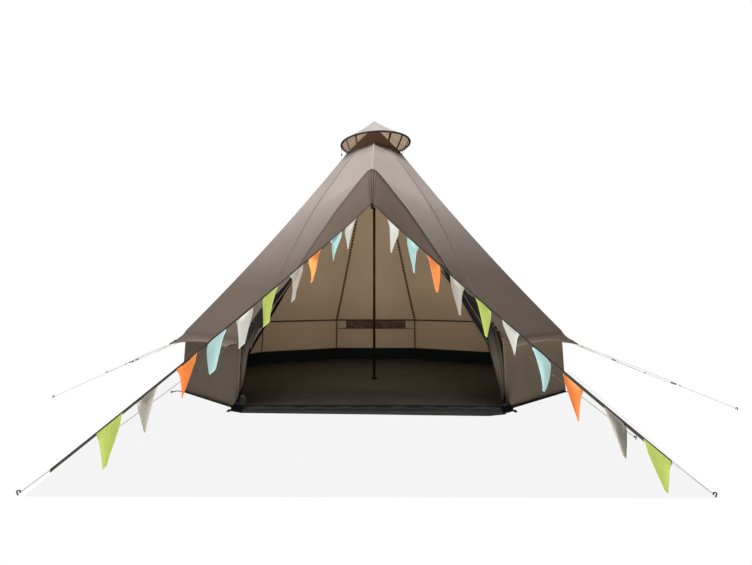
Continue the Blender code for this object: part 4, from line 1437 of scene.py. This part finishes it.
class TIPI_OT_groundsheet(bpy.types.Operator):
    """The floor with its sill flap and pegging tabs, the bathtub upstand and the black welt"""

    bl_idname = "tipi.groundsheet"
    bl_label = "Groundsheet"

    def execute(self, context):
        self.floor()
        self.tub()
        self.welt()
        self.tabs()
        return {"FINISHED"}

    def floor(self):
        """One sheet to the foot of the walls and the edge of the flap, with low ripples."""
        outline = [on_ray(corner, RADIUS + 0.003, 0.0)[:2] for corner in range(CORNERS)]
        outline += [np.array(point) for point in SILL_FLAP[::-1]]
        dense = []
        for start, end in zip(outline, outline[1:] + outline[:1]):
            steps = max(2, int(np.linalg.norm(end - start) / 0.05))
            dense += [start + (end - start) * step / steps for step in range(steps)]
        dense = np.array(dense + dense[:1])
        rings = np.concatenate([np.linspace(1.0, 0.9, 9)[:-1], np.linspace(0.9, 0.0, 40)])
        grid = dense[None] * rings[:, None, None]
        x, y = grid[..., 0], grid[..., 1]
        height = 0.0012 * np.sin(x * 9.0 + np.sin(y * 4.0) * 2.0) * np.sin(y * 7.0 + x * 2.0)
        height = np.maximum(height + 0.0009 * np.sin(x * 21.0 + y * 5.0), -0.0012)
        height = FLOOR_Z + height * np.clip((1.0 - rings[:, None]) * 12.0, 0.0, 1.0)
        grid = np.concatenate([grid, height[..., None]], axis=2)
        nodes = ("groundsheet",)
        floor = laid("groundsheet_vinyl", "floor_sheet", [grid], ("floor",), 0.0018, UP, nodes, 0.0002)
        lip = [(*point, FLOOR_Z) for point in SILL_FLAP]
        rod("groundsheet_vinyl", "sill_flap_binding", [lip], 0.0045, "black_webbing")

    def tub(self):
        """The upstand inside the walls, which drops to a low sill across the door."""
        foot, inset, slope = FLOOR_Z + 0.001, 0.0058, 0.016
        levels = np.linspace(1.0, 0.0, 12)
        heights = foot + (TUB_Z - FLOOR_Z) * levels
        across = np.linspace(0.0, 1.0, 33)
        grids = [wall_surface(corner, across, heights, inset) for corner in range(CORNERS - 1)]
        left, right = on_ray(CORNERS - 1, 1.0, 0.0), on_ray(0, 1.0, 0.0)
        rise = np.linspace(0.0, slope, 4)
        share = np.concatenate([rise, np.linspace(slope, 1.0 - slope, 43)[1:-1], 1.0 - rise[::-1]])
        top = np.interp(share, (0.0, slope, 1.0 - slope, 1.0), (TUB_Z, SILL_Z, SILL_Z, TUB_Z))
        sill = []
        for level in levels:
            height = foot + (top - FLOOR_Z) * level
            reach = wall_radius(height) - inset
            line = between(left, right, share[:, None]) * reach[:, None]
            line[:, 2] = height
            line[:, 1] += 0.0018 * np.sin(share * 60.0) * math.sin(math.pi * level)
            sill.append(line)
        grids.append(sill)
        nodes = ("bathtub_wall",)
        tub = laid("groundsheet_vinyl", "bathtub_upstand", grids, ("tub",), 0.0012, inside, nodes, 0.0004)
        rim = [point for grid in grids for point in grid[0]]
        rod("groundsheet_vinyl", "upstand_binding", [rim], 0.0042, "tape")

    def welt(self):
        corners = [on_ray(corner, RADIUS + 0.0005, 0.010) for corner in range(CORNERS)]
        line = []
        for start, end in zip(corners, corners[1:]):
            line += [start + (end - start) * step / 30.0 for step in range(30)]
        line.append(corners[-1])
        line = [point + raised(0.001 * math.sin(number * 0.7)) for number, point in enumerate(line)]
        rod("groundsheet_vinyl", "wall_welt", [line], 0.0075, "vinyl", 10)

    def tabs(self):
        """A strap, a ring and a peg at each corner, and the gussets between the flap and the first straps."""
        straps, pegs, rings = [], [], []
        ring, ring_z = 0.012, 0.0075
        for corner in range(CORNERS):
            out = on_ray(corner, 1.0, 0.0)
            half = crosswise(corner) * (TAB_WIDTH / 2.0)
            rows = []
            for share in np.linspace(0.0, 1.0, 12):
                lift = 0.007 + 0.010 * math.sin(math.pi * share) ** 2 - 0.004 * share
                middle = out * (RADIUS - 0.004 + TAB_LENGTH * share) + raised(lift)
                rows.append([middle + half * k for k in (-1.0, -0.5, 0.0, 0.5, 1.0)])
            straps.append(rows)
            hub = out * (RADIUS + TAB_LENGTH * 0.82)
            rings.append(circle(hub + raised(ring_z), RIGHT * ring, BACK * ring, 19))
            top = hub + raised(0.018)
            hook = [top + out * 0.010 - raised(0.001), top + out * 0.013 - raised(0.007)]
            pegs.append([hub + raised(0.004), top, *hook])
        shares = np.linspace(0.0, 1.0, 7)
        for end, corner in ((SILL_FLAP[0], 0), (SILL_FLAP[-1], CORNERS - 1)):
            start = on_ray(corner, RADIUS - 0.02, ring_z)
            far, near = on_ray(corner, RADIUS + TAB_LENGTH * 0.75, ring_z), np.array((*end, ring_z))
            edge = between(far, near, shares[:, None])
            straps.append(between(start, edge[None], shares[:, None, None]))
        laid("groundsheet_vinyl", "pegging_tabs", straps, ("black_webbing",), 0.0045, UP)
        self.patches()
        self.pads()
        rod("dark_steel", "tab_rings", rings, 0.0018, "steel")
        rod("dark_steel", "tab_pegs", pegs, 0.003, "steel")

    def patches(self):
        """A low patch round each of the door's corners."""
        patches = []
        for corner, beside, beyond in ((0, 1, CORNERS - 1), (CORNERS - 1, CORNERS - 2, 0)):
            here, wall, door = (on_ray(place, RADIUS + 0.004, 0.0) for place in (corner, beside, beyond))
            row = [here + unit(wall - here) * reach for reach in (0.055, 0.035, 0.015)] + [here]
            row += [here + unit(door - here) * reach for reach in (0.015, 0.035, 0.055)]
            rows = [[point + raised(height) for point in row] for height in (0.046, 0.030, 0.015, 0.002)]
            patches.append(rows)
        laid("groundsheet_vinyl", "corner_patches", patches, ("black_webbing",), 0.002, outside)

    def pads(self):
        """The flap's black corners, where it folds up against the walls."""
        pads = []
        for side in (-1.0, 1.0):
            rows = []
            for y, z, near, far in PAD_ROWS:
                places = np.linspace(near, far, 9)
                rows.append([(side * x, y, z + 0.004 * math.sin(x * 90.0)) for x in places])
            pads.append(rows)
        laid("groundsheet_vinyl", "flap_corner_pads", pads, ("pad",), 0.003, UP)


class TIPI_OT_poles(bpy.types.Operator):
    """Steel for the centre pole and the door frame, with their small fittings"""

    bl_idname = "tipi.poles"
    bl_label = "Poles"

    def execute(self, context):
        for name in ("centre_pole", "door_frame_left_leg", "door_frame_right_leg", "door_frame_crown"):
            dressed(name, "pole")
        foot, knee, top = (np.array(place) for place in (LEG_FOOT, LEG_KNEE, LEG_TOP))
        buttons = [[(0.0, -0.012, height), (0.0, -0.0185, height)] for height in (0.735, 0.80, 1.62, 2.36)]
        for side in (1.0, -1.0):
            for middle in ((foot + knee) / 2.0, (knee + top) / 2.0):
                buttons.append([mirrored(middle + (0.0, -reach, 0.0), side) for reach in (0.009, 0.0145)])
        rod("black_plastic", "pole_buttons", buttons, 0.0035, "plastic", 12)
        along = unit(top - knee)
        cuffs = [mirrored([top - along * 0.065, top + along * 0.005], side) for side in (1.0, -1.0)]
        rod("black_plastic", "frame_cuffs", cuffs, 0.0128, "plastic", 20)
        return {"FINISHED"}


def tilted(points):
    """Turned about the tip of the cap, its left side down and its front up."""
    points = np.asarray(points, float)
    drop = points[..., 2] - CAP_TIP_Z
    across = points[..., 0] * math.cos(CAP_TILT) + drop * math.sin(CAP_TILT)
    drop = drop * math.cos(CAP_TILT) - points[..., 0] * math.sin(CAP_TILT)
    along = points[..., 1] * math.cos(CAP_PITCH) + drop * math.sin(CAP_PITCH)
    drop = drop * math.cos(CAP_PITCH) - points[..., 1] * math.sin(CAP_PITCH)
    return np.stack([across, along, CAP_TIP_Z + drop], axis=-1)


class TIPI_OT_vent_cap(bpy.types.Operator):
    """The pale cap on its hoop, the mesh collar below it and its loose toggle"""

    bl_idname = "tipi.vent_cap"
    bl_label = "Vent cap"

    def execute(self, context):
        turns = np.linspace(0.0, 2.0 * math.pi, 97)
        scallop = 0.5 - 0.5 * np.cos(CAP_RIBS * turns + math.pi)
        grid = []
        for share in np.linspace(0.004, 1.0, 25):
            radius = CAP_RADIUS * share * (1.0 - 0.012 * share * scallop)
            height = self.level(share) - 0.008 * share * scallop + 0.002
            grid.append(np.stack([radius * np.sin(turns), -radius * np.cos(turns), height], axis=-1))
        grid.append(grid[-1] + raised(-0.012))
        cloths = ("cap", "cap_under")
        cap = laid("cap_canvas", "cap_canopy", [tilted(grid)], cloths, 0.0014, UP, ("vent_cap",))
        # The hoop takes the lining's painted light.
        dressed("cap_hoop", "cap_under")
        self.binding(turns)
        self.straps()
        self.collar()
        return {"FINISHED"}

    def level(self, share):
        """The height of the cap's cloth at a share of the way to its rim, a little hollow."""
        return CAP_TIP_Z + (CAP_RIM_Z - CAP_TIP_Z) * share - 0.048 * share * (1.0 - share)

    def binding(self, turns):
        rim = [bearing_point(turn, CAP_RADIUS, CAP_RIM_Z - 0.008) for turn in turns]
        rod("door_cloth", "cap_rim_binding", [tilted(rim)], 0.0125, "rim")
        seams = []
        for rib in range(CAP_RIBS):
            turn = 2.0 * math.pi * (rib + 0.5) / CAP_RIBS
            shares = np.linspace(0.06, 0.985, 14)
            line = [bearing_point(turn, CAP_RADIUS * share, self.level(share) + 0.0032) for share in shares]
            seams.append(tilted(line))
        sewn("cap_canvas", "cap_stitches", seams)

    def straps(self):
        """Short straps from the rim down to the ring, and the toggle's cord."""
        straps = []
        for bearing in CAP_STRAPS:
            turn = math.radians(bearing)
            side = np.array((math.cos(turn), math.sin(turn), 0.0)) * 0.013
            high = tilted(bearing_point(turn, 0.392, CAP_RIM_Z - 0.010))
            low = bearing_point(turn, 0.335, 2.655)
            middle = (high + low) / 2.0 - raised(0.004)
            straps.append([[point - side, point, point + side] for point in (high, middle, low)])
        laid("door_cloth", "cap_straps", straps, ("webbing",), 0.0014, cap_side)
        tail = [(-0.390, -0.02, 2.735), (-0.383, -0.022, 2.690), (-0.380, -0.024, 2.640)]
        rod("door_cloth", "cap_cord", [tail], 0.0014, "tape")
        knob = [(-0.380, -0.024, 2.645), (-0.380, -0.024, 2.618)]
        rod("black_plastic", "cap_toggle", [knob], 0.007, "plastic", 12)

    def collar(self):
        """Pleated mesh from the vent ring up to the pole, under the cap."""
        base = [np.array(RIDGE[0])] + [seam_line(corner, ROOF_ROWS)[0] for corner in range(CORNERS)]
        base = np.array(base + base[:1])
        shares = np.linspace(0.0, 1.0, 11 * 6 + 1)
        knots = np.linspace(0.0, 1.0, len(base))
        low = np.stack([np.interp(shares, knots, base[:, axis]) for axis in range(3)], axis=-1)
        flat = low[:, :2] / np.linalg.norm(low[:, :2], axis=1, keepdims=True)
        high = np.concatenate([flat * 0.0165, np.full((len(low), 1), 2.955)], axis=1)
        down = np.linspace(0.0, 1.0, 10)[:, None, None]
        grid = between(high[None], low[None], down)
        pleat = 0.004 * np.sin(shares * 2.0 * math.pi * 22.0)[None, :, None] * np.sin(math.pi * down)
        grid = grid + pleat * np.concatenate([flat, np.zeros((len(low), 1))], axis=1)[None]
        collar = laid("netting", "collar_net", [grid], ("collar",), 0.0006, cap_side, ("vent_collar",))


class TIPI_OT_door(bpy.types.Operator):
    """The door's cloth and mesh gathered back on each side, and the disc in the left corner"""

    bl_idname = "tipi.door"
    bl_label = "Door"

    def execute(self, context):
        for side, name in ((1.0, "right"), (-1.0, "left")):
            self.roll(side, name)
            self.net(side, name)
        wide, high = RIGHT * 0.034, raised(0.050)
        faces = [circle(np.array((-1.120, y, 0.078)), wide, high, 33)[:-1] for y in (-1.812, -1.808)]
        placed(prism("door_disc", faces, look("disc")), "black_plastic")
        return {"FINISHED"}

    def roll(self, side, name):
        """Pleats that hang from the hood's edge to the sill."""
        tight = 1.0 if side < 0 else 0.0
        stations = np.array(
            (
                # x, y, z, half width, half depth
                (0.705, -1.590, 1.140, 0.004, 0.004),
                (0.755, -1.590, 1.080, 0.008, 0.008),
                (0.815, -1.592, 1.016, 0.012, 0.012),
                (0.898, -1.596, 0.940, 0.018, 0.018),
                (0.962, -1.606, 0.850, 0.026, 0.024),
                (1.056 - 0.004 * tight, -1.634, 0.700, 0.050 - 0.006 * tight, 0.036),
                (1.100 + 0.024 * tight, -1.668, 0.500, 0.056 - 0.027 * tight, 0.042),
                (1.128 + 0.010 * tight, -1.708, 0.300, 0.040 - 0.023 * tight, 0.040),
                (1.150 + 0.008 * tight, -1.742, 0.120, 0.022 - 0.014 * tight, 0.032),
                (1.160 + 0.004 * tight, -1.748, 0.006, 0.012 - 0.006 * tight, 0.026),
            )
        )
        path = curve_through(stations, np.linspace(0.0, 1.0, 90))
        turns = np.linspace(0.0, 2.0 * math.pi, 97)
        rows = []
        for number, (x, y, z, wide, deep) in enumerate(path):
            drift = 0.5 * math.sin(number * 0.05)
            ripple = 0.14 * np.cos(7.0 * turns + drift) + 0.07 * np.cos(13.0 * turns - drift * 2.0 + 1.0)
            ripple = 0.92 * (1.0 + ripple)
            across, back = x + wide * ripple * np.cos(turns), y + deep * ripple * np.sin(turns)
            rows.append(np.stack([side * across, back, np.full(len(turns), z)], axis=-1))
        nodes, outward = (f"door_roll_{name}",), self.away(stations, side)
        roll = laid("door_cloth", f"door_cloth_{name}", [rows], ("door",), 0.0014, outward, nodes)

    def away(self, stations, side):
        """Which way is out of the roll at a place on it."""

        def outward(place):
            x = np.interp(place.z, stations[::-1, 2], stations[::-1, 0]) * side
            y = np.interp(place.z, stations[::-1, 2], stations[::-1, 1])
            return Vector((place.x - x, place.y - y, 0.0))

        return outward

    def net(self, side, name):
        """The insect mesh bunched between the cloth and the frame's leg."""
        inner, outer, tape = DOOR_NETS[name]
        shares = np.linspace(0.0, 1.0, 40)
        near, far = curve_through(inner, shares), curve_through(outer, shares)
        across = np.linspace(0.0, 1.0, 17)[None, :, None]
        grid = between(near[:, None], far[:, None], across)
        grid[..., 1] += 0.008 * np.sin(across[..., 0] * 6.0 * math.pi) * np.sin(math.pi * shares)[:, None]
        grid[..., 0] *= side
        net = laid("netting", f"door_net_{name}", [grid], ("net",), 0.0006, FRONT)
        path = mirrored(curve_through(tape, np.linspace(0.0, 1.0, 60)), side)
        rod("door_cloth", f"door_zip_{name}", [path], 0.0045, "zip")
        if side > 0:
            edge = curve_through(DOOR_EDGE, np.linspace(0.0, 1.0, 50))
            rod("door_cloth", "door_edge_binding", [edge], 0.0065, "tape")
        else:
            # A black cord for the shade along the left cloth's lower inner edge: painted shade.
            rod("door_cloth", "door_corner_binding", [LEFT_DOOR_CORNER], 0.0070, "pad")


def peg_path(place, toward):
    """A hooked peg's top above the ground, leaning away from the pull."""
    lean = unit(np.array((toward[0], toward[1], 0.0)))
    low = np.array((place[0], place[1], 0.0042)) - lean * 0.004
    high = low - lean * 0.006 + raised(PEG_HEIGHT - 0.005)
    hook = high + lean * 0.016
    bend = lean * 0.004
    top = [high + bend + raised(0.0025), hook - bend + raised(0.0025)]
    return [low, (low + high) / 2.0, high, *top, hook, hook - raised(0.010)]


class TIPI_OT_guys(bpy.types.Operator):
    """The ten guy lines, doubled down to their sliders, with pegs"""

    bl_idname = "tipi.guys"
    bl_label = "Guys"

    def execute(self, context):
        sizes = context.scene.tipi_sizes
        for corner, name in enumerate(GUY_NAMES):
            bearing, reach = GUY_PEGS[corner]
            peg = bearing_point(math.radians(bearing), reach, 0.0)
            start = seam_line(corner, ROOF_ROWS)[-1] + on_ray(corner, 0.004, -0.006)
            end = peg + raised(0.016)
            way = unit(end - start)
            side = unit(np.cross(way, (0.0, 0.0, 1.0)))
            over = np.cross(side, way)
            slide = between(start, end, SLIDER_SHARES.get(name, USUAL_SLIDER_SHARE))
            door = name.endswith("_door")
            cord, gap = look("dim_rope" if door else "rope"), over * (0.0048 if door else 0.012)
            middle = between(start, slide, 0.45)
            upper = [start + over * 0.002, middle + gap, slide + over * 0.010]
            lower = [start - over * 0.002, middle - gap, slide - over * 0.006]
            last = [slide + over * 0.010, between(slide, end, 0.2) + over * 0.002, end + way * 0.004]
            eye = circle(start - way * 0.006, way * 0.012, over * 0.006, 15)
            rope = bars("rope", [upper, lower, last, eye], sizes.rope, cord, 8)
            slider = self.slider(slide, way, side, over)
            knots = [[start + way * 0.035, start + way * 0.052], [slide + way * 0.05, slide + way * 0.062]]
            knot = bars("knot", knots, 0.0068, cord, 10)
            pin = bars("pin", [peg_path(peg, -way)], PEG_WIRE, look("steel"), 10)
            guy = joined(f"guy_line_{name}", [rope, slider, knot, pin])
            placed(guy, "guy_rope", f"guy_{name}")
        return {"FINISHED"}

    def slider(self, centre, way, side, over):
        """A flat runner with a waist."""
        half = ((0.024, 0.005), (0.018, 0.0085), (0.006, 0.007))
        edge = [(-x, y) for x, y in half] + list(half[::-1])
        section = edge + [(x, -y) for x, y in edge[::-1]]
        flat = [centre + way * x + side * y for x, y in section]
        faces = [[point + over * level for point in flat] for level in (-0.004, 0.004)]
        return prism("slider", faces, look("slider"))


class TIPI_OT_bunting(bpy.types.Operator):
    """Two ribbons of pennants pegged out from the hood's point"""

    bl_idname = "tipi.bunting"
    bl_label = "Bunting"

    def execute(self, context):
        for side, name in ((1, "right"), (-1, "left")):
            self.string(side, name)
            for number, facts in enumerate(PENNANTS[side]):
                self.pennant(side, name, number, facts)
        return {"FINISHED"}

    def point(self, share, side):
        start, end = np.array(BUNTING_TOP), np.array((*BUNTING_PEG, 0.012))
        place = start + (end - start) * share
        place[2] -= BUNTING_SAG * 4.0 * share * (1.0 - share)
        place[0] *= side
        return place

    def string(self, side, name):
        last = RIBBON_SHARE[side]
        shares = np.linspace(0.0, last, 90)
        heights = RIBBON_HEIGHT * np.interp(shares, *RIBBON_GROWTH) * (0.85 if side < 0 else 1.0)
        rows = []
        for drop in (0.0, 0.33, 0.67, 1.0):
            fall = heights * drop + 0.002
            rows.append([self.point(share, side) - raised(f) for share, f in zip(shares, fall)])
        front, nodes = (side, -0.6, 0.0), (f"bunting_{name}",)
        ribbon = laid("bunting_cloth", f"bunting_ribbon_{name}", [rows], ("ribbon",), 0.002, front, nodes)
        start, end = self.point(0.0, side), self.point(1.0, side)
        length = float(np.linalg.norm(self.point(last, side) - start))
        middle = raised(-RIBBON_HEIGHT / 2.0)
        halfway = self.point((last + 1.0) / 2.0, side)
        tail = [self.point(last - 0.004, side) + middle, halfway + middle * 0.5, end + raised(0.001)]
        rod("guy_rope", f"bunting_cord_{name}", [tail], 0.0019, "rope")
        rod("dark_steel", f"bunting_peg_{name}", [peg_path(end, start - end)], PEG_WIRE, "steel", 10)
        seat = np.array((side * 0.00064, -0.00048, -RIBBON_HEIGHT * 0.8))
        seam = [self.point(share, side) + seat for share in shares]
        sewn("bunting_cloth", f"bunting_stitches_{name}", [seam])

    def pennant(self, side, name, number, facts):
        """A cut triangle whose rows keep their width and bulge where they look narrower."""
        share, out, back, drop, narrow, blunt, curl, painted_glow = facts
        hue = PENNANT_ORDER[number % len(PENNANT_ORDER)]
        colour = getattr(bpy.context.scene.tipi_colours, hue)[:]
        way = self.point(1.0, side) - self.point(0.0, side)
        front = unit(np.array((-way[1], way[0], 0.0))) * side
        seat = raised(-RIBBON_HEIGHT * 0.55) + front * 0.0006
        start = self.point(share - FLAG_HALF_SHARE, side) + seat
        end = self.point(share + FLAG_HALF_SHARE, side) + seat
        top, half = (start + end) / 2.0, (end - start) / 2.0
        tip = top + np.array((side * out, back, drop))
        turn = 1.0 if number % 2 else -1.0
        across = np.linspace(-1.0, 1.0, 17)
        rows = []
        for down in np.linspace(0.0, 1.0, 31):
            seen = (1.0 - down) ** narrow * (1.0 - blunt) + blunt
            cut = max(1.0 - 0.97 * down, seen * 1.002) * (1.0 + 0.12 * math.sin(math.pi * down))
            angles = np.linspace(0.02, 5.6, 120)
            angle = float(np.interp(-seen / cut, -np.sin(angles / 2.0) / (angles / 2.0), angles))
            radius = cut * np.linalg.norm(half) / (angle / 2.0)
            along = np.sin(across * angle / 2.0) * radius
            bulge = (np.cos(across * angle / 2.0) - math.cos(angle / 2.0)) * radius
            bulge = bulge * (0.9 + 0.1 * np.sin(across * 3.0 + number))
            middle = top * (1.0 - down) + tip * down + np.array((curl * down**6, 0.0, 0.0))
            ripple = 0.002 * np.sin(across * 7.0 + down * 6.0 + number) * min(1.0, down * 3.0) * seen
            offset = (bulge * turn - 0.5 * turn * bulge.max() + ripple)[:, None] * front
            rows.append(middle + along[:, None] * half / np.linalg.norm(half) + offset * min(1.0, down * 5.0))
        label = f"pennant_{name}_{number + 1}_{hue}"
        # Painted light: each pennant glows by its own share, as if lit through.
        cloth = canvas(label + "_cloth", colour, weave=0.0022, tone=0.10, crease=0.0012, painted_glow=painted_glow)
        flag = placed(cloth_from(label, [rows], [cloth], 0.0011, front), "bunting_cloth")


class TIPI_PT_panel(bpy.types.Panel):
    """The tent's steps, in order"""

    bl_idname = "TIPI_PT_panel"
    bl_label = "Tipi tent"
    bl_space_type = "VIEW_3D"
    bl_region_type = "UI"
    bl_category = "Tipi"

    def draw(self, context):
        for step in STEPS:
            self.layout.operator(step.bl_idname)
        for group in (context.scene.tipi_sizes, context.scene.tipi_colours):
            for name in group.bl_rna.properties.keys():
                if name not in ("rna_type", "name"):
                    self.layout.prop(group, name)


STEPS = (
    TIPI_OT_stage,
    TIPI_OT_roof,
    TIPI_OT_hood,
    TIPI_OT_walls,
    TIPI_OT_groundsheet,
    TIPI_OT_poles,
    TIPI_OT_vent_cap,
    TIPI_OT_door,
    TIPI_OT_guys,
    TIPI_OT_bunting,
)
CLASSES = (TipiSizes, TipiColours, *STEPS, TIPI_PT_panel)


def register():
    for item in CLASSES:
        bpy.utils.register_class(item)
    bpy.types.Scene.tipi_sizes = PointerProperty(type=TipiSizes)
    bpy.types.Scene.tipi_colours = PointerProperty(type=TipiColours)


def unregister():
    del bpy.types.Scene.tipi_colours
    del bpy.types.Scene.tipi_sizes
    for item in reversed(CLASSES):
        bpy.utils.unregister_class(item)


def main():
    register()
    for step in STEPS:
        family, name = step.bl_idname.split(".")
        getattr(getattr(bpy.ops, family), name)()


if __name__ == "__main__":
    main()
